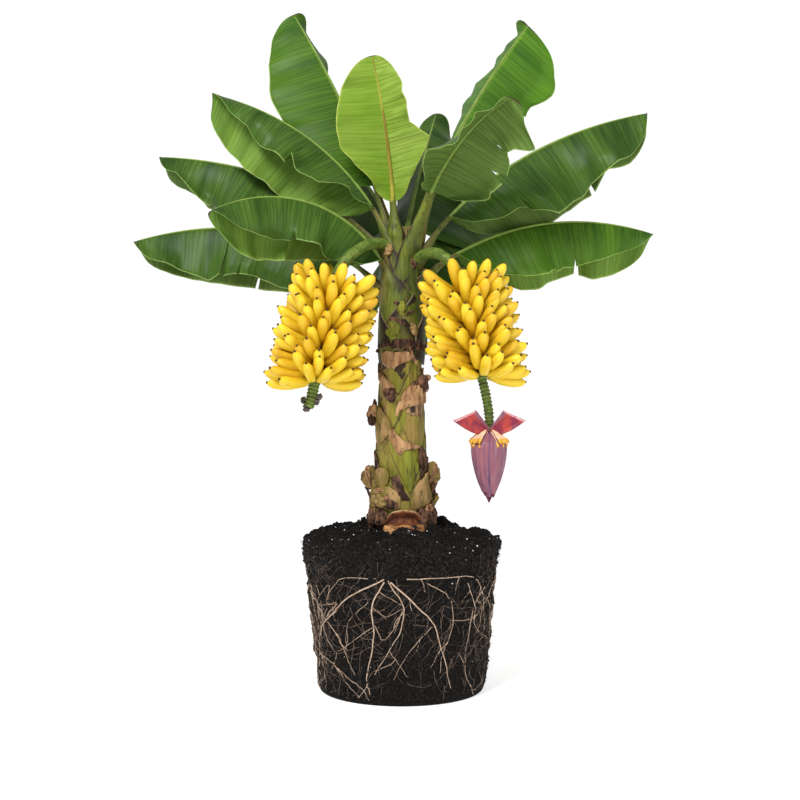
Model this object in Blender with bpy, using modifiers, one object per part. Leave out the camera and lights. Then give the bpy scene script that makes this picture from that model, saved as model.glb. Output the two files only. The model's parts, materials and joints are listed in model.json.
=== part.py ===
"""A dwarf banana plant lifted out of its pot, standing on its root ball.

Metres, +Z up. The origin is the centre of the root ball's flat underside. +X is to the right of the plant's
front and +Y is behind it. Azimuths are degrees from +X towards +Y, so 180 is left and 270 is the front.

The plant is a stem on a root ball, leaves that each have a petiole and a blade, two fruit stalks with tiers of
fruit, one flower that hangs from the right stalk, and the dry remains of old leaf sheaths round the stem.
"""

import math
from dataclasses import dataclass

import bmesh
import bpy
from mathutils import Matrix, Vector, noise

# ---------------------------------------------------------------- driving dimensions, in metres and degrees
CLEARANCE = 0.0004  # left between pieces that touch

BALL_FOOT_RADIUS = 0.262
BALL_RIM_RADIUS = 0.312
BALL_RIM_HEIGHT = 0.470
SOIL_HEIGHT = 0.500  # of the soil beside the stem
BALL_ROUGHNESS = 0.006
SOIL_ROUGHNESS = 0.022
BALL_SIDES = 28

STEM_SIDES = 20
# (height, radius) up the stem: root flare, long taper, then the core that the petioles leave
STEM_TAPER = (
    (0.470, 0.112),
    (0.530, 0.106),
    (0.600, 0.098),
    (0.700, 0.089),
    (0.860, 0.083),
    (1.000, 0.076),
    (1.100, 0.068),
    (1.180, 0.060),
    (1.290, 0.049),
    (1.390, 0.034),
    (1.470, 0.019),
)

PETIOLE_FOOT = 0.030  # half width of a petiole where it leaves the stem
RIB_ROOT = 0.0135  # half width of the midrib where the petiole meets the blade
RIB_TIP = 0.004
BLADE_SLENDERNESS = 96  # a blade is this many times longer than it is thick
CURL = 15.0  # degrees that each half of a blade steepens from its rib to its margin
VEIN_LEAN = 0.10  # how far the blade leans towards its tip, per metre from the midrib
FLAT_WIDTH = 0.09  # a blade narrower than this is less folded
BLADE_STATIONS = (0.0, 0.025, 0.09, 0.19, 0.30, 0.42, 0.54, 0.66, 0.78, 0.90, 1.0)
BLADE_ACROSS = 3  # steps from the midrib to a margin

FINGER_LENGTH = 0.142
FINGER_RADIUS = 0.0200

# (height below the top, radius) down the closed flower
BUD_PROFILE = (
    (0.000, 0.014),
    (0.022, 0.036),
    (0.057, 0.051),
    (0.100, 0.049),
    (0.142, 0.038),
    (0.182, 0.022),
    (0.208, 0.010),
    (0.219, 0.003),
)
BUD_TOP = Vector((0.268, -0.170, 0.821))
BRACT_LENGTH = 0.108
BRACT_WIDTH = 0.040  # half width
BRACT_THICKNESS = 0.0032
BRACT_RISE = 33.0


# finish: (colour, roughness)
FINISHES = {
    "peat": ((0.012, 0.010, 0.009), 0.95),
    "stem": ((0.150, 0.170, 0.040), 0.60),
    "dry sheath": ((0.200, 0.105, 0.045), 0.85),
    "petiole": ((0.130, 0.210, 0.040), 0.50),
    "leaf": ((0.035, 0.130, 0.020), 0.45),
    "stalk": ((0.090, 0.160, 0.030), 0.55),
    "fruit": ((0.800, 0.480, 0.020), 0.45),
    "bract": ((0.260, 0.045, 0.060), 0.50),
    "male flower": ((0.780, 0.520, 0.180), 0.60),
}


@dataclass
class Leaf:
    """One leaf. Its midrib leaves the stem at `rise` degrees above level and ends at `tip` degrees."""

    name: str
    azimuth: float
    foot: float  # height where it leaves the stem
    rise: float
    tip: float
    sweep: float  # degrees that it turns in plan
    petiole: float
    blade: float
    left: float  # half width on the side that is 90 degrees counter-clockwise from the azimuth
    right: float
    fold_left: float  # how steeply each half hangs from the midrib
    fold_right: float
    roll: float = 0.0
    ruffle: float = 0.02
    phase: float = 0.0
    ease: float = 1.0  # under 1 the midrib bends early, over 1 late
    belly: float = 0.85  # over 1 the blade is widest towards its tip


# From the newest leaf, in the middle of the crown, to the oldest one.
LEAVES = (
    Leaf("centre", 215, 1.430, 87, 74, 0, 0.12, 0.46, 0.092, 0.160, 12, 8, roll=50, ruffle=0.008, ease=1.2),
    Leaf("left_upright", 160, 1.420, 74, 54, -20, 0.30, 0.58, 0.195, 0.190, 2, 66, roll=-48, ruffle=0.008, belly=1.0),
    Leaf("right_upright", 8, 1.370, 77, 52, 0, 0.30, 0.56, 0.170, 0.230, 95, 0, 108, 0.010, ease=0.8, belly=1.3),
    Leaf("back_small", 72, 1.430, 58, 40, 6, 0.20, 0.46, 0.150, 0.150, 40, 40, ease=1.2),
    Leaf("left_high", 181, 1.405, 70, 13, -3, 0.24, 0.55, 0.130, 0.205, 52, 70, roll=12, ease=0.9),
    Leaf("right_front", 316, 1.370, 71, 12, -2, 0.22, 0.42, 0.200, 0.150, 48, 22, roll=-5, ruffle=0.020, ease=1.3),
    Leaf("back_left", 115, 1.380, 60, -10, 0, 0.17, 0.63, 0.190, 0.190, 50, 50, ease=1.2),
    Leaf("left_middle", 172, 1.355, 60, 2, 4, 0.22, 0.65, 0.200, 0.190, 60, 50, ruffle=0.030, ease=0.65),
    Leaf("right_high", 0, 1.340, 62, 8, -8, 0.20, 0.72, 0.190, 0.208, 60, 58, ruffle=0.035, ease=0.85),
    Leaf("back_right", 50, 1.320, 50, -16, 0, 0.14, 0.64, 0.190, 0.190, 55, 55, ease=1.2),
    Leaf("left_front", 207, 1.290, 72, -30, 0, 0.18, 0.535, 0.185, 0.205, 68, 58, phase=1.0, ease=0.85),
    Leaf("right_low", 4, 1.280, 46, -18, 0, 0.17, 0.67, 0.220, 0.214, 58, 64, ease=0.9),
    Leaf("left_low", 170, 1.250, 57, -17, 10, 0.17, 0.745, 0.190, 0.205, 62, 66, phase=0.5, ease=0.65),
    Leaf("back_low", 95, 1.270, 44, -30, 0, 0.14, 0.60, 0.190, 0.190, 58, 58, ease=1.2),
)

# how much wider or narrower each half of a blade is than its plain outline, at even steps from its foot to its tip
HALF_SHAPES = {
    ("centre", -1): (0.46, 0.46, 0.72, 0.94, 1.00, 0.98, 0.90, 0.88, 0.80),
    ("centre", 1): (0.84, 0.78, 1.24, 1.10, 0.88, 1.06, 1.10, 0.94, 0.92),
    ("left_upright", 1): (1.04, 1.04, 1.08, 1.08, 1.06, 0.96, 0.88, 0.82, 0.86),
    ("left_upright", -1): (0.72, 0.60, 0.55, 0.60, 0.60, 0.65, 0.75, 0.85, 0.90),
    ("right_upright", -1): (1.22, 1.06, 0.90, 0.78, 0.80, 0.80, 0.96, 1.02, 1.12),
    ("left_high", 1): (1.20, 1.30, 1.26, 1.12, 1.16, 0.84, 0.64, 0.74, 0.64),
    ("left_high", -1): (1.12, 1.08, 1.02, 0.96, 0.96, 1.00, 0.86, 0.90, 1.04),
    ("left_middle", 1): (0.68, 0.76, 0.68, 0.72, 0.84, 0.82, 0.74, 0.60, 0.80),
    ("left_middle", -1): (1.14, 0.98, 1.06, 1.14, 1.10, 1.12, 1.22, 0.92, 1.12),
    ("left_front", 1): (1.14, 1.08, 0.86, 0.76, 0.76, 0.72, 0.72, 0.60, 0.52),
    ("left_front", -1): (1.16, 1.02, 0.96, 0.96, 0.98, 1.02, 1.04, 1.10, 1.22),
    ("left_low", 1): (1.16, 1.10, 1.00, 0.86, 0.86, 0.98, 0.90, 0.90, 0.86),
    ("left_low", -1): (1.16, 1.00, 0.96, 0.96, 0.96, 0.92, 0.94, 0.90, 0.98),
    ("right_high", -1): (0.68, 0.66, 0.72, 1.18, 1.08, 0.94, 0.94, 0.96, 0.98),
    ("right_high", 1): (1.12, 1.12, 1.16, 1.24, 1.26, 1.16, 0.88, 1.14, 1.22),
    ("right_low", -1): (0.58, 0.70, 0.88, 0.92, 0.74, 0.70, 0.66, 0.56, 0.54),
    ("right_low", 1): (1.06, 0.94, 1.04, 1.02, 1.00, 0.88, 0.96, 1.04, 1.14),
    ("right_front", 1): (0.72, 0.60, 0.64, 0.86, 0.80, 0.64, 0.78, 1.24, 1.36),
    ("right_front", -1): (1.08, 1.25, 1.35, 1.35, 1.35, 1.04, 0.72, 0.86, 0.96),
    ("back_small", 1): (0.50, 0.55, 0.66, 0.66, 0.58, 0.70, 1.00, 0.88, 0.98),
}


@dataclass
class Bunch:
    """A fruit stalk's arch and the axis that its tiers of fruit sit on, from `top` to `bottom`."""

    name: str
    arch: tuple  # points of the stalk from the stem to the first tier
    top: Vector
    bottom: Vector
    tail: tuple  # points of the stalk under the last tier
    tail_radius: float
    turn: float  # azimuth of the first fruit
    gap: float  # azimuth that the first tier leaves free for the stalk


BUNCHES = (
    Bunch(
        "left",
        ((-0.010, -0.020, 1.360), (-0.045, -0.062, 1.418), (-0.112, -0.118, 1.405), (-0.180, -0.160, 1.345)),
        Vector((-0.212, -0.170, 1.270)),
        Vector((-0.268, -0.170, 0.965)),
        ((-0.276, -0.170, 0.925), (-0.286, -0.172, 0.895)),
        0.016,
        0.0,
        28.0,
    ),
    Bunch(
        "right",
        ((0.020, -0.020, 1.300), (0.060, -0.070, 1.362), (0.110, -0.125, 1.372), (0.160, -0.160, 1.335)),
        Vector((0.190, -0.170, 1.275)),
        Vector((0.246, -0.170, 0.985)),
        ((0.259, -0.170, 0.930), (0.268, -0.170, 0.870), (0.268, -0.170, 0.821 + CLEARANCE)),
        0.0135,
        14.0,
        152.0,
    ),
)
STALK_RADIUS = 0.0175
FIRST_TIER = 0.09  # how far down the axis the first and the last tier sit
LAST_TIER = 0.93
FINGERS = 10  # in each tier
TIERS = 6
TOP_LIFT = 56.0  # how steeply the fruit of the first and of the last tier rise
BOTTOM_LIFT = 2.0
FINGER_BEND = 34.0  # degrees that a fruit bends upward along its length


# ---------------------------------------------------------------- small helpers
def mix(a, b, t):
    """Value between a and b."""
    return a + (b - a) * t


def ramp(t):
    """Smooth step from 0 to 1."""
    t = min(1.0, max(0.0, t))
    return t * t * (3.0 - 2.0 * t)


def outward(azimuth):
    """Level unit vector at an azimuth in degrees."""
    a = math.radians(azimuth)
    return Vector((math.cos(a), math.sin(a), 0.0))


def stem_radius(z):
    """Radius of the stem at a height."""
    if z <= STEM_TAPER[0][0]:
        return STEM_TAPER[0][1]
    for (z0, r0), (z1, r1) in zip(STEM_TAPER, STEM_TAPER[1:]):
        if z <= z1:
            return mix(r0, r1, (z - z0) / (z1 - z0))
    return STEM_TAPER[-1][1]


def finish(name):
    """Material of a finish, made once: a Principled BSDF with its colour and roughness."""
    material = bpy.data.materials.get(name)
    if material is None:
        material = bpy.data.materials.new(name)
        material.use_nodes = True
        bsdf = material.node_tree.nodes["Principled BSDF"]
        colour, roughness = FINISHES[name]
        bsdf.inputs["Base Color"].default_value = (*colour, 1.0)
        bsdf.inputs["Roughness"].default_value = roughness
        material.diffuse_color = (*colour, 1.0)
    return material


def collection(name):
    """Collection of that name, linked to the scene."""
    found = bpy.data.collections.get(name)
    if found is None:
        found = bpy.data.collections.new(name)
        bpy.context.scene.collection.children.link(found)
    return found


def place(name, mesh, kind):
    """Puts a mesh in the scene as a part of the plant, or as a cutter when it has no finish."""
    body = bpy.data.objects.new(name, mesh)
    collection("Banana plant" if kind else "Cutters").objects.link(body)
    if kind:
        mesh.materials.append(finish(kind))
    else:
        body.hide_render = True
        body.display_type = "WIRE"
    return body


def mesh_of(body):
    """New mesh of an object as its modifiers or its bevel make it."""
    bpy.context.view_layer.update()
    return bpy.data.meshes.new_from_object(body.evaluated_get(bpy.context.evaluated_depsgraph_get()))


def tidy(mesh, flat=False):
    """Welds a mesh, merges its level facets when asked, splits it in triangles and turns it outward."""
    bm = bmesh.new()
    bm.from_mesh(mesh)
    bmesh.ops.remove_doubles(bm, verts=bm.verts, dist=1e-6)
    if flat:
        bmesh.ops.dissolve_limit(bm, angle_limit=math.radians(0.2), verts=bm.verts, edges=bm.edges)
    bmesh.ops.triangulate(bm, faces=bm.faces, ngon_method="EAR_CLIP")
    bmesh.ops.recalc_face_normals(bm, faces=bm.faces)
    bm.to_mesh(mesh)
    bm.free()
    return mesh


def loft(name, rings, kind=None):
    """Closed body through unlike sections that have the same number of points."""
    n = len(rings[0])
    points = [p for ring in rings for p in ring]
    faces = []
    for i in range(len(rings) - 1):
        for j in range(n):
            k = (j + 1) % n
            a, b, c, d = i * n + j, i * n + k, (i + 1) * n + k, (i + 1) * n + j
            # the second half of a section goes back below the first, so its diagonals turn round to lie alike
            faces += [(a, b, c), (a, c, d)] if j < n // 2 else [(a, b, d), (b, c, d)]
    faces.append(tuple(range(n))[::-1])
    faces.append(tuple((len(rings) - 1) * n + j for j in range(n)))
    mesh = bpy.data.meshes.new(name)
    mesh.from_pydata([tuple(p) for p in points], [], faces)
    return place(name, tidy(mesh), kind)


def turned(name, profile, sides, kind=None, centre=Vector()):
    """Body of revolution of a (radius, height) profile, from the axis at its top to the axis at its foot."""
    mesh = bpy.data.meshes.new(name)
    line = [(0.0, profile[0][1]), *profile, (0.0, profile[-1][1])]
    mesh.from_pydata([(r, 0.0, z) for r, z in line], [(i, i + 1) for i in range(len(line) - 1)], [])
    body = bpy.data.objects.new(name, mesh)
    bpy.context.scene.collection.objects.link(body)
    screw = body.modifiers.new("turn", "SCREW")
    screw.steps = screw.render_steps = sides
    screw.use_merge_vertices = True
    screw.merge_threshold = 1e-6
    made = mesh_of(body)
    bpy.data.objects.remove(body)
    made.transform(Matrix.Translation(centre))
    return place(name, tidy(made, flat=True), kind)


def tube(name, points, radii, resolution, kind=None):
    """Tube along points with a radius at each: a curve with a bevel and filled ends, made a mesh."""
    curve = bpy.data.curves.new(name, "CURVE")
    curve.dimensions = "3D"
    curve.bevel_depth = 1.0
    curve.bevel_resolution = resolution
    curve.use_fill_caps = True
    spline = curve.splines.new("POLY")
    spline.points.add(len(points) - 1)
    for knot, point, radius in zip(spline.points, points, radii):
        knot.co = (*point, 1.0)
        knot.radius = radius
    body = bpy.data.objects.new(name, curve)
    bpy.context.scene.collection.objects.link(body)
    made = mesh_of(body)
    made.materials.clear()
    bpy.data.objects.remove(body)
    return place(name, tidy(made), kind)


def shell(name, rows, thickness, kind):
    """Plate from an open grid of points, thickened on the side that its rows turn to."""
    n = len(rows[0])
    mesh = bpy.data.meshes.new(name)
    faces = [
        (i * n + j, i * n + j + 1, (i + 1) * n + j + 1, (i + 1) * n + j)
        for i in range(len(rows) - 1)
        for j in range(n - 1)
    ]
    mesh.from_pydata([tuple(p) for row in rows for p in row], [], faces)
    body = bpy.data.objects.new(name, mesh)
    bpy.context.scene.collection.objects.link(body)
    solidify = body.modifiers.new("thickness", "SOLIDIFY")
    solidify.thickness = thickness
    solidify.offset = 1.0
    made = mesh_of(body)
    bpy.data.objects.remove(body)
    return place(name, tidy(made), kind)


def combine(body, tools, operation):
    """Cuts the tools from the body, or joins them to it, and removes them."""
    for tool in tools:
        step = body.modifiers.new("step", "BOOLEAN")
        step.operation = operation
        step.solver = "EXACT"
        step.object = tool
    body.data = tidy(mesh_of(body), flat=True)
    body.modifiers.clear()
    for tool in tools:
        bpy.data.objects.remove(tool)
    return body


def keep_largest(body):
    """Removes every piece of a body but its largest one."""
    bm = bmesh.new()
    bm.from_mesh(body.data)
    left, islands = set(bm.verts), []
    while left:
        start = left.pop()
        island, stack = {start}, [start]
        while stack:
            for edge in stack.pop().link_edges:
                for vert in edge.verts:
                    if vert in left:
                        left.discard(vert)
                        island.add(vert)
                        stack.append(vert)
        islands.append(island)
    largest = max(islands, key=len)
    bmesh.ops.delete(bm, geom=[v for v in bm.verts if v not in largest], context="VERTS")
    bm.to_mesh(body.data)
    bm.free()
    return body


def smooth_curve(points, steps):
    """Points of a smooth curve through the given ones."""
    pts = [Vector(p) for p in points]
    pts = [pts[0] * 2 - pts[1], *pts, pts[-1] * 2 - pts[-2]]
    out = []
    for a, b, c, d in zip(pts, pts[1:], pts[2:], pts[3:]):
        for i in range(steps):
            t = i / steps
            out.append(
                0.5 * (2 * b + (c - a) * t + (2 * a - 5 * b + 4 * c - d) * t**2 + (3 * b - a - 3 * c + d) * t**3)
            )
    out.append(pts[-2])
    return out


# ---------------------------------------------------------------- root ball and stem
def stem_body(name, kind=None, grown=0.0):
    """The stem, or a cutter of the same shape grown on every side."""
    profile = [(r + 1.1 * grown, z) for z, r in STEM_TAPER][::-1]
    profile[0] = (profile[0][0], profile[0][1] + grown)
    profile[-1] = (profile[-1][0], profile[-1][1] - grown)
    return turned(name, profile, STEM_SIDES, kind)


def root_ball():
    """Black peat that kept the taper and the rim of its pot, with a socket for the stem."""
    rim, top = BALL_RIM_HEIGHT, SOIL_HEIGHT
    profile = [(0.123, top + 0.004), (0.165, top + 0.008), (0.225, top - 0.008)]
    profile += [(BALL_RIM_RADIUS - 0.035, rim + 0.020), (BALL_RIM_RADIUS - 0.008, rim + 0.012)]
    profile += [(BALL_RIM_RADIUS, rim - 0.015)]
    for part in (0.78, 0.52, 0.25, 0.0):
        profile.append((mix(BALL_FOOT_RADIUS, BALL_RIM_RADIUS - 0.006, part), rim * part))
    ball = turned("root_ball", profile, BALL_SIDES, "peat")
    for vert in ball.data.vertices:
        x, y, z = vert.co
        reach = math.hypot(x, y)
        if reach < 1e-4 or z < 1e-4:
            continue
        rough = noise.noise(Vector((x / reach * 5, y / reach * 5, z * 16))) * BALL_ROUGHNESS
        vert.co.x += x / reach * rough
        vert.co.y += y / reach * rough
        if z > rim:
            vert.co.z += noise.noise(Vector((x * 18, y * 18, 3.1))) * SOIL_ROUGHNESS
    return combine(ball, [stem_body("socket", grown=CLEARANCE)], "DIFFERENCE")


@dataclass
class Sheath:
    """A plate of old leaf sheath that hugs the stem and curls away from it at its top."""

    name: str
    azimuth: float
    span: float  # degrees round the stem
    low: float
    high: float
    flare: float  # how far its top stands off the stem
    taper: float  # how much narrower its top is


SHEATHS = (
    Sheath("foot_front", 268, 78, 0.535, 0.615, 0.028, 0.25),
    Sheath("foot_left", 188, 64, 0.530, 0.650, 0.040, 0.55),
    Sheath("foot_right", 348, 62, 0.530, 0.655, 0.036, 0.55),
    Sheath("foot_back", 88, 96, 0.535, 0.640, 0.030, 0.30),
    Sheath("middle_left", 196, 70, 0.780, 0.885, 0.030, 0.35),
    Sheath("middle_right", 332, 90, 0.830, 0.935, 0.034, 0.45),
    Sheath("upper_front", 240, 100, 0.960, 1.095, 0.018, 0.35),
    Sheath("upper_back", 80, 110, 0.900, 1.040, 0.022, 0.40),
)
SHEATH_THICKNESS = 0.0045


def sheath_body(sheath):
    """Plate from stations round and up the stem, cut clear of the stem at its foot."""
    rows, columns = 5, 5
    grid = []
    for i in range(rows):
        t = i / (rows - 1)
        z = mix(sheath.low, sheath.high, t)
        span = sheath.span * (1 - sheath.taper * t * t)
        row = []
        for j in range(columns):
            v = j / (columns - 1) - 0.5
            wave = 0.004 * t * abs(math.sin(9 * v + sheath.azimuth))
            point = outward(sheath.azimuth + span * v) * (stem_radius(z) + sheath.flare * t**3 - 0.002 + wave)
            point.z = z
            row.append(point)
        grid.append(row)
    plate = shell("sheath_" + sheath.name, grid, SHEATH_THICKNESS, "dry sheath")
    return keep_largest(combine(plate, [stem_body("core", grown=CLEARANCE)], "DIFFERENCE"))


# ---------------------------------------------------------------- leaves
class Spine:
    """Midrib of a leaf as a fine chain of points, tangents and level sides."""

    STEPS = 64

    def __init__(self, leaf):
        self.leaf = leaf
        self.length = leaf.petiole + leaf.blade
        point = outward(leaf.azimuth) * (0.75 * stem_radius(leaf.foot))
        point.z = leaf.foot
        self.points, self.tangents, self.sides = [], [], []
        for i in range(self.STEPS + 1):
            s = i / self.STEPS
            rise = math.radians(mix(leaf.rise, leaf.tip, s**leaf.ease))
            level = outward(leaf.azimuth + leaf.sweep * s * s)
            tangent = level * math.cos(rise) + Vector((0, 0, math.sin(rise)))
            self.points.append(point.copy())
            self.tangents.append(tangent)
            self.sides.append(Vector((-level.y, level.x, 0)))
            point = point + tangent * (self.length / self.STEPS)

    def at(self, s):
        """Point, tangent, side and normal at a fraction of the length."""
        f = min(1.0, max(0.0, s)) * self.STEPS
        i = min(int(f), self.STEPS - 1)
        f -= i
        point = self.points[i].lerp(self.points[i + 1], f)
        tangent = self.tangents[i].lerp(self.tangents[i + 1], f).normalized()
        side = self.sides[i].lerp(self.sides[i + 1], f)
        side = (side - tangent * side.dot(tangent)).normalized()
        return point, tangent, side, tangent.cross(side)


def blade_outline(t, belly):
    """Half width of a blade at a fraction of its length, as a part of its greatest one."""
    return math.sqrt(max(0.0, 1 - abs(2 * t**belly - 1) ** 2.5))


def half_shape(leaf, sign, t):
    """How much wider than its plain outline a half of a blade is at `t`."""
    shape = HALF_SHAPES.get((leaf.name, sign), (1.0, 1.0))
    f = min(max(t, 0.0), 1.0) * (len(shape) - 1)
    i = min(int(f), len(shape) - 2)
    return mix(shape[i], shape[i + 1], f - i)


def channel(point, side, normal, w, grown=0.0):
    """Section of a petiole: a channel on top of a half round."""
    ring = [(-1.0, 0.22), (0.0, 0.02), (1.0, 0.22), (0.93, -0.30), (0.50, -0.82), (-0.50, -0.82), (-0.93, -0.30)]
    points = []
    for x, y in ring:
        wide = x * w + math.copysign(1.2 * grown, x) * (x != 0.0)
        points.append(point + side * wide + normal * (y * w + math.copysign(1.6 * grown, y)))
    return points


def petiole_body(leaf, kind=None, grown=0.0):
    """The stalk of a leaf, from inside the stem to the foot of its blade."""
    spine = Spine(leaf)
    end = leaf.petiole / spine.length
    radius = stem_radius(leaf.foot)
    back = min(0.06, 0.45 * radius / max(0.1, math.cos(math.radians(leaf.rise))))
    foot = min(PETIOLE_FOOT, 0.85 * radius)
    rings = []
    for f in (0.0, 0.1, 0.5, 1.0):
        point, tangent, side, normal = spine.at(end * f)
        point += tangent * (grown * (f == 1.0) - (back + grown) * (f == 0.0))
        rings.append(channel(point, side, normal, mix(foot, RIB_ROOT, f**0.7), grown))
    return loft("petiole_" + leaf.name, rings, kind)


def blade_point(leaf, frame, t, sign, v):
    """Point of a blade's upper face and the normal there, `v` of the way from the rib to a margin."""
    point, tangent, side, normal = frame
    width, fold = (leaf.left, leaf.fold_left) if sign > 0 else (leaf.right, leaf.fold_right)
    width *= blade_outline(t, leaf.belly) * half_shape(leaf, sign, t)
    width = max(mix(RIB_ROOT, RIB_TIP, t), width)
    bend = ramp(width / FLAT_WIDTH)
    roll = math.radians(leaf.roll)
    across = side * math.cos(roll) + normal * math.sin(roll)
    above = normal * math.cos(roll) - side * math.sin(roll)
    steps = 12
    place = point.copy()
    face = above
    for j in range(round(v * steps)):
        b = math.radians((fold + CURL * (j + 0.5) / steps) * bend)
        out = across * (sign * math.cos(b)) - above * math.sin(b)
        face = across * (sign * math.sin(b)) + above * math.cos(b)
        place += (out + tangent * VEIN_LEAN) * (width / steps)
    wave = math.sin(2 * math.pi * 2.5 * t + leaf.phase + (0.0 if sign > 0 else 2.1))
    ends = min(1.0, 8 * t) * min(1.0, 5 * (1 - t))
    return place + face * (leaf.ruffle * v * v * wave * ends), face


def blade_body(leaf):
    """The blade of a leaf with its midrib."""
    spine = Spine(leaf)
    start = (leaf.petiole + CLEARANCE) / spine.length
    thick = leaf.blade / BLADE_SLENDERNESS
    rings = []
    for t in BLADE_STATIONS:
        frame = spine.at(mix(start, 1.0, t))
        point, _, side, normal = frame
        top, under = [], []
        for k in range(-BLADE_ACROSS, BLADE_ACROSS + 1):
            sign = 1 if k >= 0 else -1
            v = abs(k) / BLADE_ACROSS
            place, face = blade_point(leaf, frame, t, sign, v)
            if k == 0:
                other = blade_point(leaf, frame, t, -1, 1 / BLADE_ACROSS)[1]
                face = (blade_point(leaf, frame, t, 1, 1 / BLADE_ACROSS)[1] + other).normalized()
                depth = max(thick * min(2.0, 1 / max(0.3, face.dot(other))), mix(RIB_ROOT, RIB_TIP, t) * 0.9)
            else:
                depth = thick
            top.append(place)
            under.append(place - face * depth)
        rings.append(top + under[::-1])
    return loft("blade_" + leaf.name, rings, "leaf")


# ---------------------------------------------------------------- fruit
def jitter(*seeds):
    """Steady value from -1 to 1 for a set of numbers."""
    return math.sin(12.9898 * seeds[0] + 78.233 * seeds[1] + 37.719 * seeds[2]) * 43758.5453 % 2.0 - 1.0


def finger_azimuth(bunch, tier, k):
    """Azimuth of one fruit of a tier; every second tier is turned by half a step."""
    return bunch.turn + 360 * (k + 0.5 * (tier % 2)) / FINGERS + 3 * jitter(tier, k, bunch.turn)


def finger_line(bunch, tier, k):
    """Points and radii down the middle of one fruit: thin stalk, full belly, blunt tip."""
    part = tier / (TIERS - 1)
    azimuth = finger_azimuth(bunch, tier, k)
    lift = mix(TOP_LIFT, BOTTOM_LIFT, part) + 3 * jitter(k, tier, 2) + (4 if k % 2 else -4)
    length = FINGER_LENGTH * (1 + 0.05 * jitter(tier, 5, k))
    level = outward(azimuth)
    point = bunch.top.lerp(bunch.bottom, mix(FIRST_TIER, LAST_TIER, part)) + level * (STALK_RADIUS * 0.9)
    points, radii, steps, stops = [], [], 12, {0: 0.31, 4: 0.80, 8: 1.0, 12: 0.36}
    for i in range(steps + 1):
        rise = math.radians(lift + FINGER_BEND * (i / steps - 0.5))
        if i in stops:
            points.append(point.copy())
            radii.append(FINGER_RADIUS * stops[i])
        point += (level * math.cos(rise) + Vector((0, 0, math.sin(rise)))) * (length / steps)
    return points, radii


def tier_body(bunch, tier):
    """One ring of fruit, fused to the collar that they share round the stalk."""
    part = mix(FIRST_TIER, LAST_TIER, tier / (TIERS - 1))
    axis = (bunch.bottom - bunch.top).normalized()
    centre = bunch.top.lerp(bunch.bottom, part)
    ends = (centre - axis * 0.009, centre + axis * 0.009)
    collar = tube("tier_%s_%d" % (bunch.name, tier + 1), ends, (0.0245, 0.0245), 2, "fruit")
    fingers = []
    for k in range(FINGERS):
        aside = (finger_azimuth(bunch, tier, k) - bunch.gap + 180) % 360 - 180
        if tier or abs(aside) > 40:
            points, radii = finger_line(bunch, tier, k)
            fingers.append(tube("finger", points, radii, 0))
    combine(collar, fingers, "UNION")
    return keep_largest(combine(collar, [stalk_body(bunch, grown=CLEARANCE)], "DIFFERENCE"))


def stalk_body(bunch, kind=None, grown=0.0):
    """The stalk that carries a bunch: an arch out of the crown, a straight run and a tail."""
    arch = smooth_curve([*bunch.arch, bunch.top], 2)
    tail = smooth_curve([bunch.bottom, *bunch.tail], 1)
    radii = [STALK_RADIUS + 1.2 * grown] * (len(arch) + 1) + [bunch.tail_radius + 1.2 * grown] * (len(tail) - 1)
    return tube("fruit_stalk_" + bunch.name, arch + tail, radii, 2, kind)


# ---------------------------------------------------------------- flower
def bud_body(name, kind=None, grown=0.0):
    """The closed flower, turned about its own axis."""
    profile = [(radius + grown, -depth) for depth, radius in BUD_PROFILE]
    profile[0] = (profile[0][0], grown)
    return turned(name, profile, 12, kind, BUD_TOP)


def bract_body(name, azimuth, roll):
    """A lifted bract: a plate that widens from its foot, hollow on its inner face."""
    rise, level = math.radians(BRACT_RISE), outward(azimuth)
    along = level * math.cos(rise) + Vector((0, 0, math.sin(rise)))
    side = Vector((-level.y, level.x, 0))
    normal = along.cross(side)
    across = side * math.cos(roll) + normal * math.sin(roll)
    above = normal * math.cos(roll) - side * math.sin(roll)
    foot = BUD_TOP + level * 0.004 + Vector((0, 0, 0.004))
    grid = []
    for t, half in ((0.0, 0.010), (0.25, 0.026), (0.6, BRACT_WIDTH), (0.9, BRACT_WIDTH * 0.86), (1.0, 0.018)):
        row = []
        for v in (-1.0, -0.5, 0.0, 0.5, 1.0):
            spread = half * math.sin(v * 1.15) / 1.15
            sag = half * (1 - math.cos(v * 1.15)) / 1.15
            row.append(foot + along * (BRACT_LENGTH * t) + across * spread - above * sag)
        grid.append(row)
    plate = shell("bract_" + name, grid, BRACT_THICKNESS, "bract")
    tools = [bud_body("bud", grown=CLEARANCE), stalk_body(BUNCHES[1], grown=CLEARANCE), flower_row(grown=CLEARANCE)]
    return keep_largest(combine(plate, tools, "DIFFERENCE"))


def flower_row(kind=None, grown=0.0):
    """Male flowers: a collar round the stalk with two fans of thin flowers over the bud's shoulder."""
    up = Vector((0, 0, 1))
    ends = (BUD_TOP + up * (CLEARANCE - grown), BUD_TOP + up * (0.0075 + grown))
    collar = tube("male_flowers", ends, [0.0185 + grown] * 2, 3, kind)
    flowers = []
    for azimuth in (190, 214, 238, 302, 326, 350):
        level = outward(azimuth)
        first = BUD_TOP + level * 0.012 + up * 0.0042
        last = BUD_TOP + level * 0.064 - up * 0.030
        flowers.append(tube("flower", (first, last), (0.0030 + grown, 0.0065 + grown), 0))
    combine(collar, flowers, "UNION")
    if grown:
        return collar
    tools = [stalk_body(BUNCHES[1], grown=CLEARANCE), bud_body("bud", grown=CLEARANCE)]
    return keep_largest(combine(collar, tools, "DIFFERENCE"))


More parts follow.
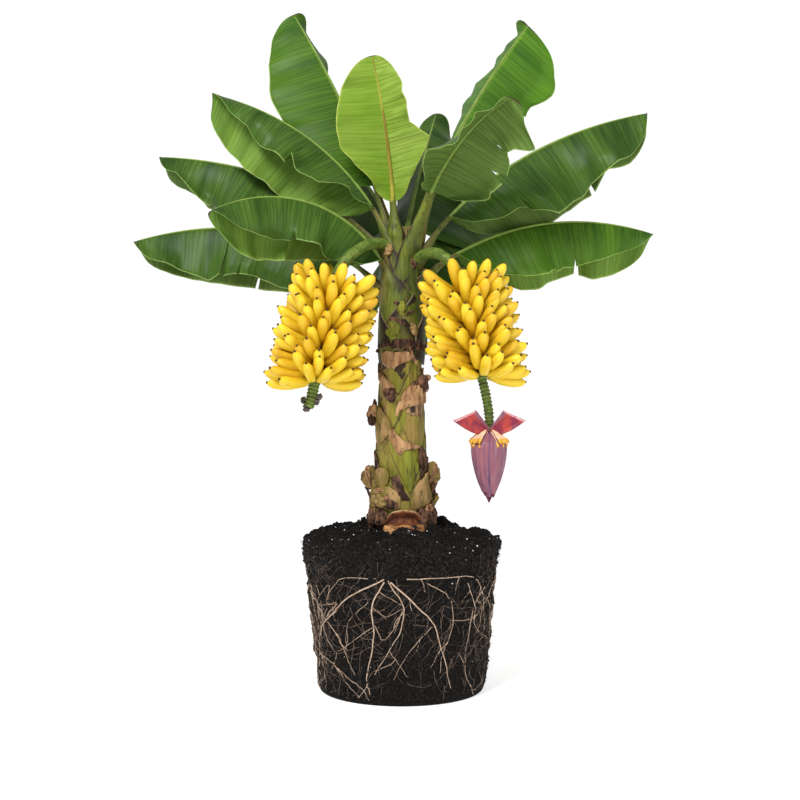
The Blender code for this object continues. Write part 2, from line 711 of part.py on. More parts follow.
def main():
    """Builds every piece of the plant."""
    for old in list(bpy.data.objects):
        bpy.data.objects.remove(old)
    root_ball()
    stem_body("stem", "stem")
    for sheath in SHEATHS:
        sheath_body(sheath)
    for i, leaf in enumerate(LEAVES):
        tools = [stem_body("core", grown=CLEARANCE)]
        tools += [petiole_body(inner, grown=CLEARANCE) for inner in LEAVES[:i]]
        keep_largest(combine(petiole_body(leaf, "petiole"), tools, "DIFFERENCE"))
        blade_body(leaf)
    for bunch in BUNCHES:
        tools = [stem_body("core", grown=CLEARANCE)]
        tools += [petiole_body(leaf, grown=CLEARANCE) for leaf in LEAVES]
        keep_largest(combine(stalk_body(bunch, "stalk"), tools, "DIFFERENCE"))
        for tier in range(TIERS):
            tier_body(bunch, tier)
    bud_body("flower_bud", "bract")
    flower_row("male flower")
    bract_body("left", 178, math.radians(62))
    bract_body("right", 2, math.radians(-62))


main()
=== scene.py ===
"""Looks of a banana plant with a bare root ball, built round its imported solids.

Lengths are in metres, +Z is up and the camera looks along +Y.
"""

import json
import logging
import math
from dataclasses import dataclass, field, replace
from enum import Enum
from typing import Callable, Optional, Sequence

import bmesh
import bpy
import numpy as np
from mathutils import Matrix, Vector

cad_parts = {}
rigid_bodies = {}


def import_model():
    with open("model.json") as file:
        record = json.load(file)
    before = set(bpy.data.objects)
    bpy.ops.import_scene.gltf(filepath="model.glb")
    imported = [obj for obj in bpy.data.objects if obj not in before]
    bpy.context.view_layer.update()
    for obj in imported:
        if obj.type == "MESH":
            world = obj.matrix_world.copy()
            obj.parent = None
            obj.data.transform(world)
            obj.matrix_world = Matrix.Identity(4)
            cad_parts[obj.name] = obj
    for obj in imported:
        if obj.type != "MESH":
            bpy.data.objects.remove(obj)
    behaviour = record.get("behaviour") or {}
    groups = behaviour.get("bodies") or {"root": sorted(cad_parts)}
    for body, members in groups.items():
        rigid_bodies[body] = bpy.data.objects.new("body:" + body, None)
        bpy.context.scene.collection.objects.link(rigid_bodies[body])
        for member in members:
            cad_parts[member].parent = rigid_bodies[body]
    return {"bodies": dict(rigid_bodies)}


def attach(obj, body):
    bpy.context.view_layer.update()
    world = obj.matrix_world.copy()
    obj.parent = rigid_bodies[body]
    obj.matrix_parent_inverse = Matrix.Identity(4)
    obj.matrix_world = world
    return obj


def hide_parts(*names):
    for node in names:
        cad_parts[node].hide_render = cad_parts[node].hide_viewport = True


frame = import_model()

Array = np.ndarray
Material = bpy.types.Material
Socket = bpy.types.NodeSocket
Solid = bpy.types.Object
Tree = bpy.types.NodeTree
Colour = Triple = tuple[float, float, float]
Coil = Sequence[Triple]
Dice = np.random.Generator

LOG = logging.getLogger("banana_plant")
BODY = next(iter(frame["bodies"]))
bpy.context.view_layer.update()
SKIN_MAP = "skin"  # name of the map that patterns follow

STEM_TAPER = (  # height and radius
    (0.4, 0.097), (0.53, 0.1), (0.6, 0.098), (0.636, 0.091), (0.68, 0.0845), (0.761, 0.0825),
    (0.824, 0.0795), (0.871, 0.076), (0.918, 0.0715), (0.965, 0.067), (1.012, 0.064), (1.06, 0.063),
    (1.15, 0.06), (1.24, 0.056), (1.32, 0.048), (1.4, 0.038), (1.47, 0.025),
)
BARK = 0.09  # radius at which the stem's noise is read


# ---- arithmetic
def mix(a: float, b: float, t: Array) -> Array:
    """Value between a and b, t of the way."""
    return a + (b - a) * t


def ramp(t: Array) -> Array:
    """Soft step from 0 to 1."""
    t = np.clip(t, 0.0, 1.0)
    return t * t * (3 - 2 * t)


def outward(azimuth: Array) -> Array:
    """Level unit vectors at azimuths in degrees, 0 along +X and 90 along +Y."""
    a = np.radians(np.asarray(azimuth, float))
    return np.stack([np.cos(a), np.sin(a), np.zeros_like(a)], axis=-1)


def around(azimuth: Array, radius: Array, height: Array) -> Array:
    """Points at azimuths, distances from the axis and heights."""
    point = outward(azimuth) * np.asarray(radius)[..., None]
    point[..., 2] = height
    return point


def unit(v: Array) -> Array:
    """Vectors of the same directions and of length 1."""
    return v / np.maximum(np.linalg.norm(v, axis=-1, keepdims=True), 1e-12)


def stem_radius(z: Array) -> Array:
    """Radius of the stem at a height."""
    heights, radii = zip(*STEM_TAPER)
    return np.interp(z, heights, radii)


def turn_between(a: Array, b: Array) -> Array:
    """Signed difference of two azimuths, from -180 to 180 degrees."""
    return (np.asarray(a) - b + 180) % 360 - 180


def grain(points: Array, size: float, seed: int = 0) -> Array:
    """Smooth noise from -1 to 1 whose lumps are about `size` across.

    Args:
        points: positions, of any shape with a last axis of 3.
        size: width of a lump in the units of the points.
        seed: whole number that picks the pattern.

    Returns:
        One value for each point.
    """
    p = np.asarray(points, float) / size
    cell = np.floor(p).astype(np.int64)
    f = p - cell
    f = f * f * (3 - 2 * f)
    total = np.zeros(p.shape[:-1])
    for i in (0, 1):
        for j in (0, 1):
            for k in (0, 1):
                c = cell + np.array((i, j, k))
                n = (
                    c[..., 0] * 73856093
                ) ^ (c[..., 1] * 19349663) ^ (c[..., 2] * 83492791) ^ (seed * 2654435)
                n = ((n ^ (n >> 13)) * 1274126177) & 0x7FFFFFFF
                n = ((n ^ (n >> 15)) * 2246822519) & 0x7FFFFFFF
                weight = (
                    (f[..., 0] if i else 1 - f[..., 0])
                    * (f[..., 1] if j else 1 - f[..., 1])
                    * (f[..., 2] if k else 1 - f[..., 2])
                )
                total += weight * (n / 0x3FFFFFFF - 1)
    return total


def drift(along: Array, across: Array, seed: int) -> Array:
    """Noise over two coordinates."""
    return grain(np.stack([along, across, along * 0], axis=-1), 1.0, seed)


def grains(points: Array, size: float, seed: int = 0, octaves: int = 3) -> Array:
    """Noise of several sizes, each half as large and half as strong as the one before."""
    return sum(grain(points, size / 2**i, seed + i) / 2**i for i in range(octaves)) / 1.6


def smooth_curve(points: Coil, steps: int) -> Array:
    """Points of a smooth curve through the given ones."""
    pts = np.array(points, float)
    pts = np.vstack([pts[0] * 2 - pts[1], pts, pts[-1] * 2 - pts[-2]])
    out = []
    for a, b, c, d in zip(pts, pts[1:], pts[2:], pts[3:]):
        for i in range(steps):
            t = i / steps
            square, cube = 2 * a - 5 * b + 4 * c - d, 3 * b - a - 3 * c + d
            out.append(0.5 * (2 * b + (c - a) * t + square * t**2 + cube * t**3))
    out.append(pts[-2])
    return np.array(out)


def made_of(kind: Callable, *rows: tuple) -> tuple:
    """One thing of a kind for each row of a table."""
    return tuple(kind(*row) for row in rows)


# ---- meshes
def grid_faces(rows: int, columns: int, closed: bool = False) -> Array:
    """Indices of a grid's quads, row by row, its last column joined to the first when closed."""
    i, j = np.meshgrid(np.arange(rows - 1), np.arange(columns if closed else columns - 1), indexing="ij")
    k = (j + 1) % columns
    return np.stack(
        [i * columns + j, i * columns + k, (i + 1) * columns + k, (i + 1) * columns + j], axis=-1
    ).reshape(-1, 4)


@dataclass
class Skin:
    """Points, faces and marks of a mesh while it is being built."""

    points: list[Array] = field(default_factory=list)
    faces: list[Array] = field(default_factory=list)
    kinds: list[Array] = field(default_factory=list)
    maps: list[Array] = field(default_factory=list)
    marks: list[dict[str, Array]] = field(default_factory=list)
    count: int = 0

    def add(
        self, points: Array, faces: Array, kind: int = 0, chart: Optional[Array] = None, **marks: Array
    ) -> None:
        """Adds points with their faces.

        Args:
            points: positions, in any shape with a last axis of 3.
            faces: indices into these points.
            kind: which of the piece's finishes the faces take.
            chart: two coordinates for each point, for patterns.
            marks: values at each point, by name.
        """
        flat = points.reshape(-1, 3)
        self.points.append(flat)
        self.faces.append(np.asarray(faces) + self.count)
        self.kinds.append(np.full(len(faces), kind))
        self.maps.append(np.zeros((len(flat), 2)) if chart is None else chart.reshape(-1, 2))
        self.marks.append({k: np.broadcast_to(v, points.shape[:-1]).reshape(-1) for k, v in marks.items()})
        self.count += len(flat)

    def grid(
        self, points: Array, closed: bool = False, caps: bool = False, kind: int = 0, **more: Array
    ) -> "Skin":
        """Adds a grid of points, closed round its rows when asked, with fans over its ends when asked."""
        rows, columns = points.shape[:2]
        start = self.count
        self.add(points, grid_faces(rows, columns, closed), kind, **more)
        if caps:
            ring = np.arange(columns)
            after = (ring + 1) % columns
            last = (rows - 1) * columns
            for middle, a, b in (
                (points[0].mean(0), after, ring),
                (points[-1].mean(0), ring + last, after + last),
            ):
                self.points.append(middle[None])
                self.maps.append(np.zeros((1, 2)))
                at = 0 if a is after else (rows - 1)
                more.pop("chart", None)
                self.marks.append({k: np.broadcast_to(v, points.shape[:-1])[at, :1] for k, v in more.items()})
                self.faces.append(np.stack([a + start, b + start, np.full(columns, self.count)], axis=-1))
                self.kinds.append(np.full(columns, kind))
                self.count += 1
        return self

    def build(
        self, name: str, *finishes: "Finish",
        weld: float = 0.0, thickness: float = 0.0, under: int = 0, rim: int = 0,
    ) -> Solid:
        """Makes the object.

        Args:
            name: name of the object.
            finishes: in the order of the kinds.
            weld: distance under which points merge, 0 for none.
            thickness: how far an open sheet is thickened below its faces, 0 for none.
            under: by how many places the lower side's finish is further on in the list.
            rim: the same for the faces along its edges.

        Returns:
            The finished object, at the origin.
        """
        mesh = bpy.data.meshes.new(name)
        points = np.concatenate(self.points).astype(np.float32)
        loops = np.concatenate([f.ravel() for f in self.faces]).astype(np.int32)
        sizes = np.concatenate([np.full(len(f), f.shape[1]) for f in self.faces])
        mesh.vertices.add(len(points))
        mesh.vertices.foreach_set("co", points.ravel())
        mesh.loops.add(len(loops))
        mesh.loops.foreach_set("vertex_index", loops)
        mesh.polygons.add(len(sizes))
        mesh.polygons.foreach_set("loop_start", (np.cumsum(sizes) - sizes).astype(np.int32))
        mesh.update(calc_edges=True)
        mesh.polygons.foreach_set("material_index", np.concatenate(self.kinds).astype(np.int32))
        chart = mesh.uv_layers.new(name=SKIN_MAP)
        chart.data.foreach_set("uv", np.concatenate(self.maps)[loops].astype(np.float32).ravel())
        for mark in sorted({k for marks in self.marks for k in marks}):
            values = [m.get(mark, np.zeros(len(p))) for m, p in zip(self.marks, self.points)]
            stamp(mesh, mark, np.concatenate(values))
        mesh.validate()
        for finish in finishes:
            mesh.materials.append(dress(finish))
        if weld:
            bm = bmesh.new()
            bm.from_mesh(mesh)
            bmesh.ops.remove_doubles(bm, verts=bm.verts, dist=weld)
            bm.to_mesh(mesh)
            bm.free()
        piece = placed(name, mesh)
        if thickness:
            solidify = piece.modifiers.new("thickness", "SOLIDIFY")
            solidify.thickness = thickness
            solidify.offset = -1.0
            solidify.material_offset = under
            solidify.material_offset_rim = rim
            settle(piece)
        piece.data.shade_smooth()
        return piece


def stamp(mesh: bpy.types.Mesh, mark: str, values: Array) -> None:
    """Gives a mesh a value at each point."""
    mesh.attributes.new(mark, "FLOAT", "POINT").data.foreach_set("value", np.asarray(values, np.float32))


def placed(name: str, data: bpy.types.ID) -> Solid:
    """Object with the given data, linked to the scene."""
    piece = bpy.data.objects.new(name, data)
    bpy.context.scene.collection.objects.link(piece)
    return piece


def settle(piece: Solid) -> Solid:
    """Replaces an object's mesh by the one its modifiers make, and removes them."""
    bpy.context.view_layer.update()
    made = bpy.data.meshes.new_from_object(piece.evaluated_get(bpy.context.evaluated_depsgraph_get()))
    piece.modifiers.clear()
    old, name = piece.data, piece.data.name
    piece.data = made
    bpy.data.meshes.remove(old)
    made.name = name
    return piece


def tube_rings(path: Array, radii: Array, sides: int) -> Array:
    """Rings of points round a path, by row and place, turned as little as the path allows."""
    tangents = unit(np.gradient(path, axis=0))
    first = np.array((0.0, 1.0, 0.0)) if abs(tangents[0, 1]) < 0.9 else np.array((1.0, 0.0, 0.0))
    normal = unit(first - tangents[0] * (first @ tangents[0]))
    angle = np.linspace(0, 2 * math.pi, sides, endpoint=False)
    rings = []
    for point, tangent, radius in zip(path, tangents, radii):
        normal = unit(normal - tangent * (normal @ tangent))
        other = np.cross(tangent, normal)
        rings.append(point + radius * (np.outer(np.cos(angle), normal) + np.outer(np.sin(angle), other)))
    return np.array(rings)


def deliver(piece: Solid, slot: str, *nodes: str) -> Solid:
    """Hands a finished piece to the frame: its body and the solids it stands for."""
    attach(piece, BODY)
    if nodes:
        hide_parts(*nodes)
    LOG.info("%s: %d faces", piece.name, len(piece.data.polygons))
    return piece


# ---- node trees
def wire(tree: Tree, kind: str, inputs: Optional[dict] = None, **options: object) -> bpy.types.Node:
    """Adds a node.

    Args:
        tree: the tree it goes in.
        kind: the node's type.
        inputs: values, sockets or nodes (their first output) for its inputs, by name or by number.
        options: its settings.

    Returns:
        The node.
    """
    node = tree.nodes.new(kind)
    for key, value in options.items():
        setattr(node, key, value)
    for key, value in (inputs or {}).items():
        if isinstance(value, bpy.types.Node):
            value = value.outputs[0]
        if isinstance(value, Socket):
            tree.links.new(value, node.inputs[key])
        else:
            node.inputs[key].default_value = value
    return node


def tree_of(name: str, **sockets: str) -> tuple[Tree, bpy.types.NodeOutputs]:
    """New Geometry Nodes tree with a geometry in and out and the given named inputs, and their sockets."""
    tree = bpy.data.node_groups.new(name, "GeometryNodeTree")
    for label, kind in {"Geometry": "Geometry", **sockets}.items():
        tree.interface.new_socket(label, in_out="INPUT", socket_type="NodeSocket" + kind)
    tree.interface.new_socket("Geometry", in_out="OUTPUT", socket_type="NodeSocketGeometry")
    return tree, tree.nodes.new("NodeGroupInput").outputs


def carried(tree: Tree, mark: str, kind: str = "FLOAT") -> Socket:
    """Value that each point carries under a name."""
    return wire(tree, "GeometryNodeInputNamedAttribute", {"Name": mark}, data_type=kind).outputs["Attribute"]


def finished(tree: Tree, geometry: bpy.types.Node, finish: Socket) -> bpy.types.Node:
    """Geometry made real, with a finish."""
    real = wire(tree, "GeometryNodeRealizeInstances", {"Geometry": geometry})
    return wire(tree, "GeometryNodeSetMaterial", {"Geometry": real, "Material": finish})


def grow(base: Solid, tree: Tree, /, **values: object) -> Solid:
    """Runs a tree on an object with values for its named inputs, and keeps the plain mesh it makes."""
    modifier = base.modifiers.new("growth", "NODES")
    modifier.node_group = tree
    names = {
        item.name.lower(): item.identifier
        for item in tree.interface.items_tree
        if item.item_type == "SOCKET" and item.in_out == "INPUT"
    }
    for key, value in values.items():
        modifier[names[key]] = value
    return settle(base)


def threads_tree() -> Tree:
    """Tree that gives chains of edges their thickness, from the attribute `thick`."""
    tree, given = tree_of("threads", Sides="Int", Finish="Material")
    line = wire(tree, "GeometryNodeMeshToCurve", {"Mesh": given["Geometry"]})
    section = wire(tree, "GeometryNodeCurvePrimitiveCircle", {"Resolution": given["Sides"], "Radius": 1.0})
    inputs = {"Curve": line, "Profile Curve": section, "Scale": carried(tree, "thick"), "Fill Caps": True}
    swept = wire(tree, "GeometryNodeCurveToMesh", inputs)
    wire(tree, "NodeGroupOutput", {"Geometry": finished(tree, swept, given["Finish"])})
    return tree


def planted_tree() -> Tree:
    """Tree that sets a piece on each point by its `turn`, `size` and `deal`, with three finishes."""
    tree, given = tree_of("planted", Piece="Object", First="Material", Second="Material", End="Material")
    shape = wire(tree, "GeometryNodeObjectInfo", {"Object": given["Piece"]}).outputs["Geometry"]
    turn = wire(tree, "FunctionNodeEulerToRotation", {"Euler": carried(tree, "turn", "FLOAT_VECTOR")})
    inputs = {
        "Points": given["Geometry"], "Instance": shape, "Rotation": turn, "Scale": carried(tree, "size"),
    }
    made = finished(tree, wire(tree, "GeometryNodeInstanceOnPoints", inputs), given["First"])
    for mark, finish in (("deal", "Second"), ("tip", "End")):
        above = wire(tree, "FunctionNodeCompare", {0: carried(tree, mark), 1: 0.5}, operation="GREATER_THAN")
        inputs = {"Geometry": made, "Selection": above, "Material": given[finish]}
        made = wire(tree, "GeometryNodeSetMaterial", inputs)
    wire(tree, "NodeGroupOutput", {"Geometry": made})
    return tree


def strewn_tree() -> Tree:
    """Tree that strews small lumps over a surface."""
    tree, given = tree_of(
        "strewn", Density="Float", Smallest="Float", Largest="Float", Seed="Int", Finish="Material"
    )

    def chance(kind: str, low: object, high: object, seed: object) -> Socket:
        """Random value for each lump."""
        first = {"FLOAT_VECTOR": 0, "FLOAT": 2}[kind]
        inputs = {first: low, first + 1: high, "Seed": seed}
        return wire(tree, "FunctionNodeRandomValue", inputs, data_type=kind).outputs[first // 2]

    inputs = {"Mesh": given["Geometry"], "Density": given["Density"], "Seed": given["Seed"]}
    places = wire(tree, "GeometryNodeDistributePointsOnFaces", inputs)
    turn = chance("FLOAT_VECTOR", (0.0, 0.0, 0.0), (6.28, 6.28, 6.28), given["Seed"])
    euler = wire(tree, "FunctionNodeEulerToRotation", {"Euler": turn})
    stretch = chance("FLOAT_VECTOR", (0.6, 0.6, 0.6), (1.25, 1.25, 1.25), 5)
    size = chance("FLOAT", given["Smallest"], given["Largest"], 9)
    scale = wire(tree, "ShaderNodeVectorMath", {0: stretch, 3: size}, operation="SCALE")
    lump = wire(tree, "GeometryNodeMeshIcoSphere", {"Radius": 1.0, "Subdivisions": 1})
    inputs = {"Points": places, "Instance": lump, "Rotation": euler, "Scale": scale}
    spread = wire(tree, "GeometryNodeInstanceOnPoints", inputs)
    wire(tree, "NodeGroupOutput", {"Geometry": finished(tree, spread, given["Finish"])})
    return tree


def chains(name: str, paths: Sequence[Array], radii: Sequence[Array]) -> Solid:
    """Object of chains of edges along paths, with the radius of each point as `thick`."""
    points = np.concatenate(paths)
    starts = np.cumsum([0] + [len(p) for p in paths])
    edges = np.concatenate(
        [np.stack([np.arange(a, b - 1), np.arange(a + 1, b)], axis=-1) for a, b in zip(starts, starts[1:])]
    )
    mesh = bpy.data.meshes.new(name)
    mesh.from_pydata(points.tolist(), edges.tolist(), [])
    stamp(mesh, "thick", np.concatenate(radii))
    return placed(name, mesh)


def spots(name: str, places: Array, turns: Array, sizes: Array, deals: Array) -> Solid:
    """Object of loose points that carry `turn`, `size` and `deal`."""
    mesh = bpy.data.meshes.new(name)
    mesh.from_pydata(places.tolist(), [], [])
    turn = mesh.attributes.new("turn", "FLOAT_VECTOR", "POINT")
    turn.data.foreach_set("vector", np.asarray(turns, np.float32).ravel())
    stamp(mesh, "size", sizes)
    stamp(mesh, "deal", deals)
    return placed(name, mesh)


# ---- finishes
class Look:
    """Nodes of one material, with short names for what the finishes share."""

    def __init__(self, name: str, rough: float, base: Colour) -> None:
        """Starts a Principled material with a plain roughness and colour."""
        self.material = bpy.data.materials.new(name)
        self.material.use_nodes = True
        self.material.diffuse_color = (*base, 1.0)
        self.tree = self.material.node_tree
        self.shader = next(n for n in self.tree.nodes if n.type == "BSDF_PRINCIPLED")
        self.shader.inputs["Roughness"].default_value = rough
        self.shader.inputs["Base Color"].default_value = (*base, 1.0)

    def place(self, scale: Triple = (1.0, 1.0, 1.0)) -> Socket:
        """Object coordinates, stretched."""
        where = wire(self.tree, "ShaderNodeTexCoord").outputs["Object"]
        return wire(self.tree, "ShaderNodeMapping", {"Vector": where, "Scale": scale}).outputs[0]

    def chart_side(self) -> Socket:
        """First coordinate of the skin's own chart."""
        where = wire(self.tree, "ShaderNodeUVMap", uv_map=SKIN_MAP)
        return wire(self.tree, "ShaderNodeSeparateXYZ", {"Vector": where}).outputs["X"]

    def chart(self, across: float, along: float) -> Socket:
        """Coordinates of the piece's own map, stretched."""
        where = wire(self.tree, "ShaderNodeUVMap", uv_map=SKIN_MAP)
        inputs = {"Vector": where, "Scale": (across, along, 1.0)}
        return wire(self.tree, "ShaderNodeMapping", inputs).outputs[0]

    def noise(self, where: Socket, scale: float, detail: float = 3.0) -> Socket:
        """Noise of a scale."""
        inputs = {"Vector": where, "Scale": scale, "Detail": detail, "Roughness": 0.55}
        return wire(self.tree, "ShaderNodeTexNoise", inputs).outputs[0]

    def streaks(self, across: float, along: float, detail: float) -> Socket:
        """Noise on the piece's own map, drawn out one way."""
        return self.noise(self.chart(across, along), 1.0, detail)

    def mark(self, name: str) -> Socket:
        """Value that the mesh carries at each point."""
        return wire(self.tree, "ShaderNodeAttribute", attribute_name=name).outputs["Fac"]

    def step(self, value: Socket, low: float, high: float) -> Socket:
        """Value stretched so that low becomes 0 and high becomes 1."""
        inputs = {"Value": value, "From Min": low, "From Max": high}
        return wire(self.tree, "ShaderNodeMapRange", inputs, clamp=True).outputs[0]

    def over(
        self, colour: Socket, value: Socket, low: float, high: float, paint: object, share: float = 1.0
    ) -> Socket:
        """Colour with a share of another one where a value passes from low to high."""
        amount = self.step(value, low, high)
        return self.blend(amount if share == 1.0 else self.times(amount, share), colour, paint)

    def sum(self, a: Socket, b: object, how: str = "ADD") -> Socket:
        """Two values worked together."""
        return wire(self.tree, "ShaderNodeMath", {0: a, 1: b}, operation=how).outputs[0]

    def times(self, a: Socket, b: object) -> Socket:
        """Product of two values."""
        return self.sum(a, b, "MULTIPLY")

    def blend(self, amount: object, a: object, b: object) -> Socket:
        """Colour between a and b."""
        a = (*a, 1.0) if isinstance(a, tuple) else a
        b = (*b, 1.0) if isinstance(b, tuple) else b
        return wire(self.tree, "ShaderNodeMix", {0: amount, 6: a, 7: b}, data_type="RGBA").outputs[2]

    def paint(self, colour: Socket) -> None:
        """Joins a colour to the shader."""
        self.tree.links.new(colour, self.shader.inputs["Base Color"])

    def relief(self, height: Socket, depth: float, strength: float = 0.6) -> None:
        """Joins a bump to the shader."""
        bump = wire(self.tree, "ShaderNodeBump", {"Height": height, "Distance": depth, "Strength": strength})
        self.tree.links.new(bump.outputs["Normal"], self.shader.inputs["Normal"])


@dataclass(frozen=True)
class Grained:
    """A finish of two colours in a grain that may be drawn out one way, with specks of a third."""

    name: str
    base: Colour
    other: Colour
    rough: float
    scale: float
    stretch: Triple = (1.0, 1.0, 1.0)
    low: float = 0.35
    high: float = 0.65
    depth: float = 0.0006
    shine: float = 0.2
    speck: Optional[Colour] = None

    def make(self) -> Material:
        """Builds the material."""
        look = Look(self.name, self.rough, self.base)
        look.shader.inputs["Specular IOR Level"].default_value = self.shine
        where = look.place(self.stretch)
        value = look.noise(where, self.scale, 4.0)
        colour = look.blend(look.step(value, self.low, self.high), self.base, self.other)
        fine = look.noise(where, self.scale * 2.2, 4.0)
        if self.speck:
            colour = look.blend(look.step(fine, 0.56, 0.66), colour, self.speck)
        look.paint(colour)
        look.relief(fine, self.depth)
        return look.material


@dataclass(frozen=True)
class BladeFinish:
    """One side of a leaf: bands that are partly painted light and shade, streaks and fine veins that run from
    the rib to the margin.
    """

    name: str
    dark: Colour
    light: Colour
    margin: Colour
    rough: float
    vein_depth: float = 0.0005
    outer: float = 0.3  # how much lighter the outer part is
    shaded_half: float = 0.0  # painted shade: how much darker one half is than the other, for the fold's shade on one side of the rib
    lined: float = 0.42
    dry: Colour = (0.045, 0.026, 0.014)

    def make(self) -> Material:
        """Builds the material."""
        look = Look(self.name, self.rough, self.dark)
        # painted light and shade, partly: the dark and light bands along the side veins stand for the shading
        # of the blade's waves, over its own colour changes
        wave_shade_bands = look.streaks(0.25, 9.0, 1.0)
        broad = look.streaks(0.8, 30.0, 2.0)
        fine = look.streaks(1.5, 120.0, 2.0)
        veins = look.streaks(1.0, 300.0, 1.0)
        value = look.sum(look.times(wave_shade_bands, 0.5), look.times(broad, 0.22))
        value = look.sum(value, look.times(fine, 0.28))
        colour = look.blend(look.step(value, 0.4, 0.6), self.dark, self.light)
        lines = look.streaks(0.4, 165.0, 0.0)
        colour = look.over(colour, lines, 0.48, 0.36, tuple(0.45 * c for c in self.dark), self.lined)
        # painted shade: one half of the blade darkened
        if self.shaded_half:
            colour = look.over(colour, look.chart_side(), 0.02, -0.02, self.dark, self.shaded_half)
        across = look.mark("across")
        colour = look.over(colour, across, 0.3, 1.0, self.light, self.outer)
        colour = look.over(colour, across, 0.055, 0.0, self.margin, 0.35)
        rim = look.sum(across, look.times(fine, 0.02))
        colour = look.over(colour, rim, 0.984, 1.0, self.margin, 0.75)
        spotted = look.sum(look.streaks(9.0, 42.0, 2.0), look.times(across, 0.05))
        colour = look.over(colour, spotted, 0.755, 0.79, self.dry, 0.6)
        scorch = look.sum(look.mark("scorch"), look.times(broad, 0.3))
        look.paint(look.over(colour, scorch, 0.62, 0.74, self.dry))
        look.relief(look.sum(veins, look.times(fine, 0.8)), self.vein_depth)
        look.shader.inputs["Specular IOR Level"].default_value = 0.12
        return look.material


@dataclass(frozen=True)
class SheathFinish:
    """Green sheath and petiole skin with ribs along it, rimmed edges with a dark band beside them that is
    partly painted shade, dried patches and dark scars.
    """

    name: str
    dark: Colour
    light: Colour
    edge: Colour
    rim: Colour
    dry: Colour
    rough: float = 0.55
    mottle: float = 0.6
    worn: Colour = (0.3, 0.18, 0.055)
    worn_share: float = 0.6

    def make(self) -> Material:
        """Builds the material."""
        look = Look(self.name, self.rough, self.dark)
        look.shader.inputs["Specular IOR Level"].default_value = 0.25
        ribs = look.noise(look.place((1, 1, 0.05)), 150.0, 3.0)
        cloud = look.noise(look.place((1, 1, 0.45)), 17.0, 4.0)
        blotch = look.noise(look.place((1, 1, 0.6)), 48.0, 4.0)
        value = look.sum(look.times(ribs, 0.45), look.times(cloud, 0.55))
        colour = look.blend(look.step(value, 0.42, 0.6), self.dark, self.light)
        colour = look.blend(look.mark("tone"), colour, self.light)
        wide = look.noise(look.place((1, 1, 0.55)), 11.0, 3.0)
        colour = look.over(colour, wide, 0.48, 0.62, self.worn, self.worn_share)
        colour = look.over(colour, blotch, 0.58, 0.7, self.edge, self.mottle)
        patchy = look.sum(look.mark("dry"), look.times(blotch, 0.5))
        paper = look.step(look.times(ribs, look.sum(blotch, 1.0)), 0.55, 0.95)
        paper = look.blend(paper, self.dry, self.edge)
        colour = look.over(colour, patchy, 0.55, 0.64, self.edge)
        colour = look.over(colour, patchy, 0.68, 0.76, paper)
        scars = look.sum(look.mark("scar"), look.times(blotch, 0.7))
        colour = look.over(colour, scars, 0.72, 0.92, self.edge)
        # the dark band along each edge is partly dark skin and partly painted shade where one layer steps
        # over the next; the pale rim is the edge's own colour
        border = look.sum(look.mark("edge"), look.times(cloud, 0.12))
        colour = look.over(colour, border, 0.48, 0.75, self.edge)
        colour = look.over(colour, border, 0.93, 1.02, self.rim)
        look.paint(colour)
        look.relief(look.sum(ribs, look.times(blotch, 0.8)), 0.0014)
        return look.material


